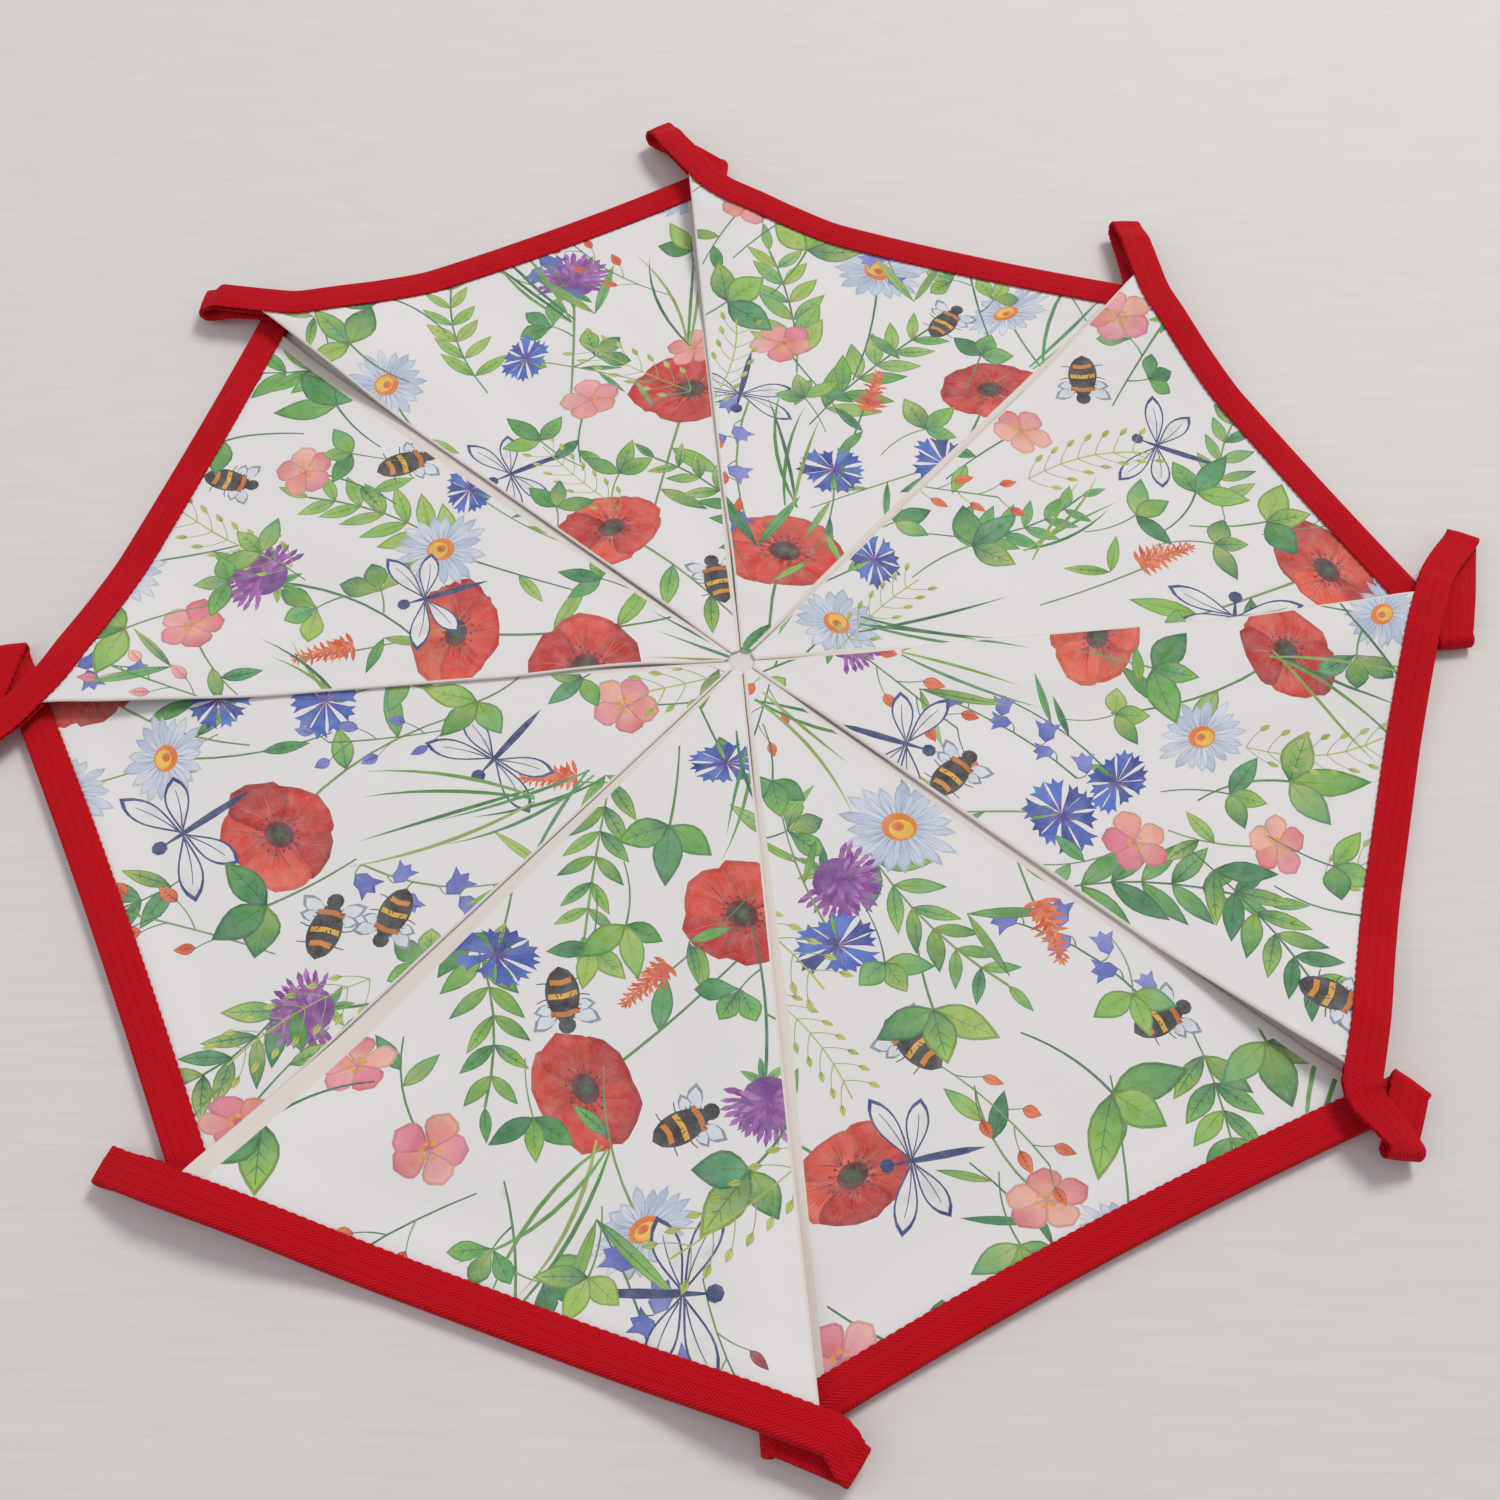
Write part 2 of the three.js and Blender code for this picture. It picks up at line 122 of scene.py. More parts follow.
# The tape's section: SECTION_SHARES are places across it, from the open edge at -1 to the fold at 1, and
# FOLD_EDGE rounds the fold: place across, and share of the height there. The layers are pressed together
# towards the open edge.
SECTION_SHARES = (-1, -0.96, -0.85, -0.6, -0.2, 0.35, 0.75, 0.92)
FOLD_EDGE = ((0.98, 0.72), (1.0, 0.3))
OPEN_ROUNDING = 0.25  # as a share of a layer's thickness
INNER_FROM = 0.85  # the inside of the fold is drawn back from here on, and has less room
INNER_FOLD = 0.14
INNER_SHRINK = 0.75
LEAST_ROOM = 0.05
PRESS_FROM = 0.1
PRESS_RUN = 0.8
PRESSED_HEIGHT = 0.08
CLOTH_BETWEEN = 0.57
SCALLOP_FROM = 0.7
SCALLOP_RUN = 0.3
SCALLOP_SHARPNESS = 0.6
RIPPLE = 0.05
DRIFT = 0.25  # how unevenly the open edge runs
DRIFT_SHARE = 0.02
DRIFT_SPACING = 20
DRIFT_SEED = 11
SEAM_ACROSS = -0.8  # where the stitches are
TURNING = math.cos(math.radians(6))

# Weaves
THREAD = 0.42
TAPE_COLUMN = 3.1
TAPE_RIB = 1.05
PALE_PAINT = (0.93, 0.92, 0.90, 1)
DEEP_PAINT = (0.02, 0.05, 0.03, 1)
COTTON_SHADE = (0.74, 0.72, 0.74, 1)
COTTON_WEAVE = (0.55, 0.53, 0.50, 1)
# Painted shade: the tape's red darkened in its rib grooves and along the herringbone's turns
TWILL_GROOVE_SHADE = (0.24, 0.001, 0.004, 1)
TWILL_TURN_SHADE = (0.20, 0.001, 0.004, 1)
TWILL_PATCH = (0.72, 0.010, 0.022, 1)
TWILL_FIBRE = (0.78, 0.05, 0.06, 1)
THREAD_RED = (0.50, 0.004, 0.012, 1)
THREAD_LIGHT = (0.66, 0.008, 0.018, 1)
BRUSHED_SHADE = 0.86

# heading: the direction of the middle line, in degrees. reach: from the wheel's middle to the tape's folded
# edge. skew: how much further out its left end is. left, right: how that side lies on its neighbour. sag: of
# the top edge. left_height, right_height: of the tape's underside at that corner. flare: the slope at which
# the top edge runs outwards near its left end. wave: of the cloth. left_band, right_band: unprinted edges.
FlagRow = namedtuple(
    "FlagRow", "heading reach skew left right sag left_height right_height flare wave left_band right_band"
)
FLAGS = [
    FlagRow(117.5, 246.4, -0.4, "over", "under", 5, 9, 0, 0.6, 0.9, 0.9, 8),
    FlagRow(73.05, 238.2, 1.3, "over", "under", 4.4, 9.5, 0, 0.7, 0.8, 0.9, 3),
    FlagRow(26.85, 247, -2.5, "over", "under", 2.3, 9, 0, 0.3, 0.7, 0.9, 2),
    FlagRow(-16.3, 244.9, 1.2, "over", "over", -0.3, 7.25, 8.5, 0.1, 0.8, 0.9, 1.2),
    FlagRow(-61.9, 252, 1.2, "under", "under", 3.1, 0, 0, 0, 0.6, 4, 5),
    FlagRow(-107.4, 255.4, 2.4, "over", "beside", 0.4, 7.25, 7.25, 0, 0.5, 0.9, 7),
    FlagRow(-153.7, 247.5, -2.5, "beside", "under", 1.6, 0, 0, 0, 0.6, 0.9, 4),
    FlagRow(-196.65, 244, -2.4, "over", "under", 1.8, 7.25, 0, 0.25, 0.7, 0.9, 5),
]

# lower, upper: the flags that a loop joins. past: how far the tape runs on beyond the lower flag's corner.
# reach, swing: how far the loop stands out, and its turn outwards. tip_height, tip_radius, roll: of the fold
# at its tip. hump: arches the top strand.
LoopRow = namedtuple("LoopRow", "lower upper past reach swing tip_height tip_radius roll hump")
LOOPS = [
    LoopRow(7, 8, 12, 22, 12, 5.2, 1.5, 0, 0.8),
    LoopRow(8, 1, 5.5, 8.5, -2, 3, 2.6, 6, 1),
    LoopRow(1, 2, 5.5, 14, 3, 3.5, 2.8, 8, 1.5),
    LoopRow(2, 3, 5.5, 23, -2, 3.5, 2.8, 8, 1.5),
    LoopRow(3, 4, 4.5, 31.5, 12, 3, 1.5, 0, 0.8),
    LoopRow(5, 4, 5.5, 23, 41, 5, 2.2, 20, 0.5),
    LoopRow(5, 6, 11, 10, 30, 5.3, 1.6, 0, 0.8),
    LoopRow(7, 6, 7, 20, -3, 2.5, 1.5, 0, 0.8),
]

# The places across a top edge at which the tape has its stations
CLOTH_COLUMNS = [-1, -0.93, -0.86, -0.79, -0.71, -0.61, -0.47, -0.25]
CLOTH_COLUMNS += [0] + [-c for c in reversed(CLOTH_COLUMNS)]

# The photograph's camera, in millimetres from the wheel's middle, and its angles and lens
CAMERA_PLACE = (3.6, -360.7, 523.9)
CAMERA_TILT = 31.59
CAMERA_ROLL = 0.75
CAMERA_LENS = 40.82
SENSOR = 36

# The studio, in metres
FLOOR_REACH = 4.0
FLOOR_BELOW = 0.0002
KEY_PLACE = (1.25, 1.75, 2.6)
KEY_COLOUR = (1.0, 0.985, 0.96)
FILL_PLACE = (-0.9, -0.5, 1.1)
FILL_COLOUR = (0.93, 0.93, 1.0)
SKY_COLOUR = (0.97, 0.96, 1.0, 1)
LIGHT_SIZE = 1.2


def rise(t):
    x = np.clip(t, 0.0, 1.0)
    return x * x * (3 - 2 * x)


def fall(t):
    return 1 - rise(t)


def lerp(a, b, t):
    return a + (b - a) * t


class Flag:
    """A flag's plan: v runs out along its middle line, and u to the left, seen from the wheel's middle."""

    def __init__(self, number):
        self.number = number
        self.row = row = FLAGS[number - 1]
        self.reach, self.skew, self.sag = row.reach, row.skew, row.sag
        angle = math.radians(row.heading)
        self.out = Vector((math.cos(angle), math.sin(angle), 0))
        self.left = Vector((-math.sin(angle), math.cos(angle), 0))
        self.top = row.reach - EDGE_ROOM
        self.half_top = self.top * math.tan(SIDE_ANGLE)
        self.flare_from = FLARE_FROM * self.half_top
        self.sides = [
            (1, row.left, row.left_height, row.left_band, self.half_turn(1)),
            (-1, row.right, row.right_height, row.right_band, self.half_turn(-1)),
        ]

    def half_turn(self, sign):
        """Half of the angle to the neighbour on that side."""
        other = FLAGS[(self.number - 1 - sign) % len(FLAGS)].heading
        between = abs(self.row.heading - other)
        return math.radians(min(between, 360 - between) / 2)

    def world(self, u, v, z):
        """Places on the flag, in the wheel's own axes."""
        return np.stack(
            [self.out.x * v + self.left.x * u, self.out.y * v + self.left.y * u, z + 0 * u], axis=-1
        )

    def tape_outer(self, u):
        """How far out the tape's folded edge is."""
        share = u / self.half_top
        past = np.maximum(0, u - self.flare_from)
        bend = np.minimum(past, FLARE_BEND)
        outwards = self.row.flare * (past - bend + bend**2 / (2 * FLARE_BEND))
        return self.reach + self.skew * share - self.sag * (1 - share**2) + outwards

    def edge_slope(self, u):
        flared = self.row.flare * np.clip((u - self.flare_from) / FLARE_BEND, 0, 1)
        return (self.skew + 2 * self.sag * u / self.half_top) / self.half_top + flared

    def corner(self, sign, inset=0):
        """How far out the corner of the outline is, drawn in by a distance, found by closing in on it."""
        v = self.top
        for _ in range(CORNER_STEPS):
            u = sign * (v * math.tan(SIDE_ANGLE) - inset / math.cos(SIDE_ANGLE))
            v = self.tape_outer(u) - (EDGE_ROOM + inset) * math.hypot(1, self.edge_slope(u))
        return float(v)

    def column_top(self, column):
        """Where a column meets the top edge. The outermost ones run along the flag's long sides."""
        sign = 1 if column > 0 else -1
        return column * self.corner(sign) * math.tan(SIDE_ANGLE)

    def half_width(self, half_turn, v):
        """From the middle line to a side. The point is rounded."""
        near = v * math.tan(half_turn) - POINT_GAP
        far = v * math.tan(SIDE_ANGLE)
        straight = lerp(near, far, rise((v - SPREAD_FROM) / SPREAD_RUN))
        centre = POINT_GAP / math.tan(SIDE_ANGLE) + POINT_RADIUS / math.sin(SIDE_ANGLE)
        curved = np.sqrt(np.maximum(0, POINT_RADIUS**2 - (v - centre) ** 2))
        return np.where(v > centre, straight, np.minimum(straight, curved))

    def height(self, at_u, v):
        """Height of the cloth's underside."""
        slope = self.edge_slope(at_u)
        steep = np.hypot(1, slope)
        u = at_u - slope * np.clip((self.tape_outer(at_u) - v) / steep**2, 0, TAPE_WIDTH / steep)
        bound = self.tape_outer(u) - TAPE_WIDTH / np.hypot(1, self.edge_slope(u))
        along = np.minimum(v, bound)
        below = bound - along
        full = np.minimum(OVER_FULL, NARROW_FULL * along)
        run = np.minimum(OVER_RUN, NARROW_RUN * along)
        height = (TAPE_SHEET + HOLD_GAP) * fall(below / SEAT_RUN)
        margin = np.minimum(along - SPREAD_FROM, below)
        for sign, lies, corner_height, _, _ in self.sides:
            inside = along * math.tan(SIDE_ANGLE) - sign * u
            over = OVER_LIFT if lies == "over" else 0
            height = height + over * fall((inside - full) / run) * rise((along - OVER_START) / OVER_RISE)
            corner = max(0, corner_height - over) * fall((inside - CORNER_FULL) / CORNER_RUN)
            height = height + corner * fall(below / CORNER_DROP)
            margin = np.minimum(margin, inside)
        ripple = np.sin(u / WAVE_ACROSS + self.sag) * np.cos(v / WAVE_ALONG - self.sag)
        return height + self.row.wave * ripple**2 * rise((margin - WAVE_MARGIN / 2) / WAVE_MARGIN)

    def inset(self, distance, step):
        """The outline, drawn in by a distance, as complex numbers u + v i, counterclockwise."""
        lean = distance / math.cos(SIDE_ANGLE)
        first = INSET_START + distance / math.sin(SIDE_ANGLE) if distance else POINT_START
        along = np.linspace(0, 1, int((self.top - distance) / step)) ** EDGE_CROWDING
        edges = []
        for sign, _, _, _, half_turn in self.sides:
            v = first + (self.corner(sign, distance) - first) * along
            edges.append(sign * (self.half_width(half_turn, v) - lean) + 1j * v)
        left, right = edges
        u = np.linspace(right[-1].real, left[-1].real, int(2 * self.half_top / step))[1:-1]
        down = (EDGE_ROOM + distance) * np.hypot(1, self.edge_slope(u))
        across = u + 1j * (self.tape_outer(u) - down)
        return np.concatenate([right[::-1], left, across[::-1]])

    def depth(self, u, v):
        """How far a place is in from the flag's edge."""
        depth = (self.tape_outer(u) - v) / np.hypot(1, self.edge_slope(u)) - EDGE_ROOM
        for sign, _, _, _, half_turn in self.sides:
            depth = np.minimum(depth, (self.half_width(half_turn, v) - sign * u) * math.cos(SIDE_ANGLE))
        return np.maximum(depth, 0)


flags = {number: Flag(number) for number in range(1, len(FLAGS) + 1)}


# The print: a meadow scatter of flowers, sprigs and insects, drawn as flat shapes in watercolour tints.
# A place on the cloth is a complex number in millimetres, with i up the flag.


def tint(code):
    """A colour's three linear values from its six-figure code."""
    values = [int(code[i : i + 2], 16) / 255 for i in (0, 2, 4)]
    return np.array([c / 12.92 if c <= 0.04045 else ((c + 0.055) / 1.055) ** 2.4 for c in values])


def tints(codes):
    return [tint(code) for code in codes.split()]


GROUND = tint("e7e5e3")
SELVEDGE = tint("e3dad2")
POPPY = tints("cc2016 e4462e b0140e f0684a d62a1c")
DAISY = tints("d3dbe8 c3cee0 dfe3ea b5c3da")
CORNFLOWER = tints("2c4aa8 3d63c4 24388a 5b7fd6")
CLOVER = tints("8a3f9c a45ab4 6f2c86 c07ac4 9c4a98")
BELL = tints("6a78c8 8a8fd6 545fb4")
BLOSSOM = tints("e88aa0 f0a890 e0707c f2b6a8")
BUD = tints("8c2440 a83a50 702038")
SPIKE = tints("e0602c ec8040 d04820")
GREEN = tints("4f9a3c 78b450 3c8648 94bc48 2f7a50 a8c060 5ca468")
STEM = tints("5a8c4c 7ca05c 3f7a58")
YELLOW = tints("f0b428 f6cc50 e89020")
INK = tint("22386e")
DARK = tint("2a2830")


def leaf_outline(length, width, full=0.5, blunt=1.0, steps=7):
    """A leaf or petal along the real axis, widest at the share full. A low power makes its ends blunt."""
    t = np.linspace(0, 1, steps)
    half = 0.5 * width * np.abs(np.sin(math.pi * t ** (math.log(0.5) / math.log(full)))) ** blunt
    return np.concatenate([length * t - 1j * half, (length * t + 1j * half)[-2:0:-1]])


def ring(radius, count=10):
    return radius * np.exp(2j * math.pi * np.arange(count) / count)


def arc(start, end, bend, steps=8):
    """A curve between two places, which bends by that share of its length."""
    t = np.linspace(0, 1, steps)
    middle = (start + end) / 2 + 1j * bend * (end - start)
    return (1 - t) ** 2 * start + 2 * t * (1 - t) * middle + t**2 * end


def strip(line, width, end_width):
    """A band along a line, as an outline."""
    along = np.gradient(line)
    side = 1j * along / np.abs(along) * np.linspace(width, end_width, len(line)) / 2
    return np.concatenate([line - side, (line + side)[::-1]])


def enclosed(outline):
    """The area inside, below zero where the outline runs clockwise."""
    return 0.5 * float(np.sum((outline.conjugate() * np.roll(outline, -1)).imag))


def counterclockwise(outline):
    return outline if enclosed(outline) > 0 else outline[::-1]


class Painting:
    """One flag's painted shapes. A later shape lies over an earlier one."""

    def __init__(self, seed):
        self.chance = random.Random(seed)
        self.shapes = []
        self.place(0, 0, 1)

    def place(self, origin, angle, size):
        """Where the next motif goes, its turn and its size."""
        self.origin, self.scale, self.squash, self.lean = origin, cmath.rect(size, angle), 1, 1

    def seen(self, points):
        """Flower heads seen from one side are drawn narrower one way."""
        turned = points * self.lean.conjugate()
        return self.origin + (turned.real + 1j * turned.imag * self.squash) * self.lean * self.scale

    def add(self, points, near, far, heart=0, reach=None):
        """A shape whose colour runs from near, at its heart, to far at its reach."""
        reach = reach or float(np.abs(points - heart).max())
        heart = self.seen(np.array([heart + 0j]))[0]
        outline = counterclockwise(self.seen(np.asarray(points)))
        self.shapes.append((outline, near, far, heart, reach * abs(self.scale)))

    def pick(self, colours):
        return self.chance.choice(colours)

    def wash(self, points, colours, heart=0):
        """A shape with a darker rim, as paint dries."""
        near, far = self.chance.sample(colours, 2)
        middle = points.mean()
        self.add(points, near * 0.72, far * 0.8, heart)
        self.add(middle + (points - middle) * 0.84, near, far, heart)

    def stem(self, start, end, bend=0.1, width=0.5, colour=None):
        """A stem, and where along it things grow."""
        line = arc(start, end, bend)
        colour = self.pick(STEM) if colour is None else colour
        self.add(strip(line, width, width * 0.6), colour, colour * 0.75, start)
        return line

    def leaf(self, base, angle, length, width, colours=GREEN, full=0.45):
        turn = cmath.rect(1, angle)
        near, far = self.chance.sample(colours, 2)
        outline = leaf_outline(length, width, full)
        self.add(base + outline * turn, near * 0.55, far * 0.75, base)
        self.add(base + (outline * 0.86 + length * 0.06) * turn, near, far * 1.15, base)
        if width > 2:
            for share in (0.25, 0.42, 0.6):
                for side in (-1, 1):
                    start = base + length * share * turn
                    vein = arc(start, start + cmath.rect(0.34 * width, angle + side * 0.75), 0, 3)
                    self.add(strip(vein, 0.2, 0.08), near * 0.7, near * 0.9, start)
        vein = arc(base, base + length * 0.85 * turn, 0.03, 4)
        self.add(strip(vein, 0.24, 0.14), near * 0.5, near * 0.8, base)

    def head(self, squash, angle):
        self.squash, self.lean = squash, cmath.rect(1, angle)

    def poppy(self):
        rnd = self.chance.uniform
        line = self.stem(0j, rnd(-8, 8) - 36j, rnd(-0.2, 0.2), 0.6)
        for share in (3, 5):
            side = self.chance.choice((-1, 1))
            self.leaf(line[share], -math.pi / 2 + side * rnd(0.7, 1.2), rnd(9, 13), rnd(2.5, 4))
        self.head(rnd(0.62, 0.9), rnd(-0.4, 0.4))
        start = rnd(0, 6)
        for i in range(5):
            angle = start + i * 2.51
            petal = leaf_outline(rnd(10.5, 12.5), rnd(12, 14.5), 0.64, 0.62, 13)
            ragged = np.array([1 + rnd(-0.045, 0.045) for _ in petal])
            self.wash(petal * ragged * cmath.rect(1, angle), POPPY)
            for fold in np.linspace(-0.45, 0.45, 9):
                crease = arc(3 + 0j, cmath.rect(rnd(6.5, 10.5), fold), 0.06, 4) * cmath.rect(1, angle)
                self.add(strip(crease, rnd(0.1, 0.5), 0.06), self.pick(POPPY) * 0.6, self.pick(POPPY))
        self.add(ring(2.9, 14), DARK, POPPY[2] * 0.4)
        for i in range(16):
            thread = arc(1.5 + 0j, rnd(3.2, 4.4) + 0j, 0.05, 3) * cmath.rect(1, i * 0.39)
            self.add(strip(thread, 0.16, 0.12), DARK, DARK)
            self.add(thread[-1] + ring(0.3, 5), DARK, DARK)
        self.add(ring(1.5, 10), tint("4a5a3c"), tint("2c3826"))

    def daisy(self):
        rnd = self.chance.uniform
        line = self.stem(0j, rnd(-6, 6) - 27j, rnd(-0.15, 0.15), 0.45)
        self.leaf(line[4], -math.pi / 2 + rnd(-1, 1), 8, 2.4)
        self.head(rnd(0.5, 0.95), rnd(-0.6, 0.6))
        for i in range(19):
            angle = i * 2 * math.pi / 19 + rnd(-0.08, 0.08)
            petal = leaf_outline(rnd(7.8, 9.8), rnd(1.9, 2.6), 0.66, 0.7, 7) * cmath.rect(1, angle)
            self.wash(petal, DAISY)
            for fold in (-0.05, 0.06):
                streak = arc(2.6 + 0j, cmath.rect(rnd(5.5, 8), fold), 0.04, 4) * cmath.rect(1, angle)
                self.add(strip(streak, 0.22, 0.08), tint("8c9cc0"), tint("b4c0d8"))
        self.add(ring(2.7, 14), tint("d8581c"), tint("e88a28"))
        self.add(0.2 + 0.5j + ring(1.9, 10), YELLOW[1], YELLOW[0])
        self.add(-0.2 - 0.1j + ring(1.0, 8), tint("d04c1c"), YELLOW[2])

    def cornflower(self):
        rnd = self.chance.uniform
        line = self.stem(0j, rnd(-8, 8) - 30j, rnd(-0.2, 0.2), 0.45)
        for share in (3, 4, 6):
            self.leaf(line[share], -math.pi / 2 + rnd(-0.9, 0.9), rnd(9, 12), 1.5)
        self.leaf(-0.5j, -math.pi / 2, 5.5, 3.6)
        self.head(rnd(0.6, 0.9), rnd(-0.3, 0.3))
        tooth = [0, 5.6 - 1.4j, 7.2 - 2.2j, 6.5 - 0.8j, 7.9 - 0.3j, 6.6 + 0.7j, 7.2 + 2.1j, 5.4 + 1.3j]
        for i in range(10):
            size = rnd(0.85, 1.1)
            self.wash(np.array(tooth) * size * cmath.rect(1, i * 0.628 + rnd(-0.1, 0.1)), CORNFLOWER)
        for i in range(9):
            floret = leaf_outline(rnd(2.4, 3.4), 0.7, 0.6, 1, 4) * cmath.rect(1, i * 0.7)
            self.add(floret, tint("4c2c84"), tint("7a58b8"))

    def clover(self):
        rnd = self.chance.uniform
        line = self.stem(0j, rnd(-5, 5) - 28j, rnd(-0.2, 0.2), 0.6)
        for share, side in ((3, 1), (5, -1)):
            end = line[share] + cmath.rect(5, 0.6 if side > 0 else 2.5)
            foot = self.stem(line[share], end, 0.1, 0.4)[-1]
            for angle in (-0.9, 0.1, 1.1):
                self.leaf(foot, angle + (0.5 if side > 0 else 2.2), rnd(6, 8), rnd(3.6, 4.6), full=0.6)
        for angle in (-2.5, -1.6, -0.6):
            self.leaf(0j, angle, 4.6, 1.5)
        self.add(3.4j + ring(4.6, 14), CLOVER[2], CLOVER[0])
        for row, count in ((6.8, 19), (5.8, 18), (4.8, 15), (3.7, 12), (2.6, 8)):
            for i in range(count):
                angle = -0.45 + 4.0 * (i + rnd(-0.25, 0.25)) / (count - 1)
                floret = leaf_outline(rnd(2.6, 3.6), rnd(0.8, 1.2), 0.6, 0.8, 4)
                base = cmath.rect(row - 2.2, angle) + 2.8j
                near, far = self.chance.sample(CLOVER, 2)
                self.add(base + floret * cmath.rect(1, angle), near * 0.8, far, base)

    def bells(self):
        rnd = self.chance.uniform
        line = self.stem(8j, rnd(-6, 2) - 26j, rnd(0.12, 0.25), 0.45)
        bell = np.array([0, 1.5 - 1.7j, 3.2 - 1.8j, 5.4 - 2.9j, 4.7 - 1j, 6 + 0j, 4.7 + 1j, 5.4 + 2.9j])
        bell = np.concatenate([bell, [3.2 + 1.8j, 1.5 + 1.7j]])
        for share in range(6):
            side = -1 if share % 2 else 1
            angle = -math.pi / 2 + side * rnd(0.5, 1.1)
            end = line[share] + cmath.rect(2.2, side * 0.6 - 0.2)
            foot = self.stem(line[share], end, 0.2, 0.3)[-1]
            self.wash(foot + bell * cmath.rect(rnd(0.7, 1.0), angle), BELL, foot)
        self.leaf(line[-1], 1.0, 17, 2.2)
        self.leaf(line[-1], 2.1, 14, 2.0)

    def blossom(self):
        rnd = self.chance.uniform
        line = self.stem(0j, rnd(-5, 5) - 17j, rnd(-0.2, 0.2), 0.4)
        self.leaf(line[4], -1.57 + rnd(0.5, 1), 7, 2.6)
        self.leaf(line[5], -1.57 - rnd(0.5, 1), 7, 2.6)
        self.head(rnd(0.7, 1), rnd(-0.5, 0.5))
        for i in range(5):
            petal = leaf_outline(rnd(5.4, 6.4), rnd(4.6, 5.4), 0.64, 0.7, 7)
            self.wash(petal * cmath.rect(1, i * 1.257 + rnd(-0.1, 0.1)), BLOSSOM)
        for i in range(6):
            self.add(cmath.rect(1.2, i * 1.05) + ring(0.45, 5), YELLOW[0], YELLOW[2])

    def buds(self):
        rnd = self.chance.uniform
        line = self.stem(9j, rnd(-3, 3) - 22j, rnd(-0.15, 0.15), 0.4)
        colours = self.pick([BUD, BLOSSOM, BELL, SPIKE])
        for share in range(6):
            side = -1 if share % 2 else 1
            end = line[share] + cmath.rect(rnd(3.5, 6), 1.57 + side * 0.7)
            foot = self.stem(line[share], end, 0.1, 0.25)[-1]
            self.leaf(foot, 1.57 + side * 0.4, rnd(3.2, 4.6), rnd(1.8, 2.5), colours, 0.42)

    def spike(self):
        rnd = self.chance.uniform
        self.stem(12j, rnd(-3, 3) - 22j, rnd(-0.1, 0.1), 0.5)
        for row in range(9):
            for angle in (0.2, 0.9, 1.57, 2.2, 2.9):
                floret = leaf_outline(rnd(2.6, 4.2), 0.9, 0.5, 1, 4) * cmath.rect(1.12 - 0.08 * row, angle)
                base = 1.35j * row
                self.add(base + floret, self.pick(SPIKE), self.pick(SPIKE), base)
        for angle in (-2.4, -0.7):
            self.leaf(-6j, angle + 1.3, 9, 2.4)

    def sprig(self):
        rnd = self.chance.uniform
        line = self.stem(16j, rnd(-5, 5) - 20j, rnd(-0.25, 0.25), 0.5)
        colours = self.chance.sample(GREEN, 3)
        length = rnd(9, 13)
        for share in range(1, 7):
            for side in (-1, 1):
                size = length * (0.62 + 0.06 * share)
                angle = 1.57 + side * rnd(0.6, 0.95)
                self.leaf(line[share], angle, size, size * rnd(0.3, 0.42), colours)
        self.leaf(line[0], 1.57, length * 0.6, length * 0.2, colours)

    def fern(self):
        rnd = self.chance.uniform
        colours = tints("b4c04c c8cc68 98b048")
        line = self.stem(12j, rnd(-4, 4) - 16j, rnd(-0.2, 0.2), 0.35, colours[0])
        for share in range(1, 8):
            for side in (-1, 1):
                end = line[share] + cmath.rect(5, 1.57 + side * 0.8)
                twig = self.stem(line[share], end, side * 0.1, 0.22, colours[2])
                self.leaf(twig[-1], 1.57 + side * 0.5, 2.6, 1.2, colours)

    def grass(self):
        rnd = self.chance.uniform
        for _ in range(4):
            blade = arc(rnd(-2, 2) - 14j, rnd(-12, 12) + rnd(8, 18) * 1j, rnd(-0.2, 0.2), 8)
            along = np.gradient(blade)
            half = 1j * along / np.abs(along) * 0.36 * np.sin(np.linspace(0.5, 3.14, 8))
            colour = self.pick(GREEN)
            self.add(np.concatenate([blade - half, (blade + half)[-2::-1]]), colour * 0.6, colour)

    def leaves(self):
        """Two or three broad leaves on one short stem."""
        rnd = self.chance.uniform
        line = self.stem(4j, rnd(-3, 3) - 12j, rnd(-0.2, 0.2), 0.5)
        for angle in (0.5, 1.6, 2.7):
            self.leaf(line[0], angle + rnd(-0.2, 0.2), rnd(9, 14), rnd(5, 7))

    def bee(self):
        for side in (-1, 1):
            for at, spread in ((1.5, 1.2), (0.2, 1.6), (-1.2, 2.0)):
                leg = arc(at + 0j, at + cmath.rect(3.6, side * spread), side * 0.25, 5)
                self.add(strip(leg, 0.26, 0.14), DARK, DARK)
        for side in (-1, 1):
            for spread, size in ((1.0, 5.4), (1.5, 4.2)):
                wing = leaf_outline(size, size * 0.42, 0.62, 0.7, 6) * cmath.rect(1, side * spread)
                self.add(1.1 + wing, tint("6f7a88"), tint("8e98a6"))
                self.add(1.1 + wing * 0.88, tint("c9d2dc"), tint("dfe5ea"))
        self.add(leaf_outline(8.6, 4.6, 0.46, 0.62, 12) - 4.8, DARK, tint("3a3430"))
        for at, band in ((-3.0, YELLOW[2]), (-1.0, YELLOW[0]), (1.6, tint("d87818"))):
            bend = at + np.array([-2j, 0.8 - 2j, 1.05, 0.8 + 2j, 2j, 0.3])
            reach = 0.72 if at < -2 else 0.98
            self.add(bend.real + 1j * bend.imag * reach, band, band * 0.8)
        for i in range(14):
            hair = arc(0j, 0.7 + 0j, 0, 3) * cmath.rect(1, i) + cmath.rect(1.6, i) + 1.2
            self.add(strip(hair, 0.2, 0.1), DARK, DARK)
        self.add(3.9 + ring(1.2, 10), DARK, DARK)

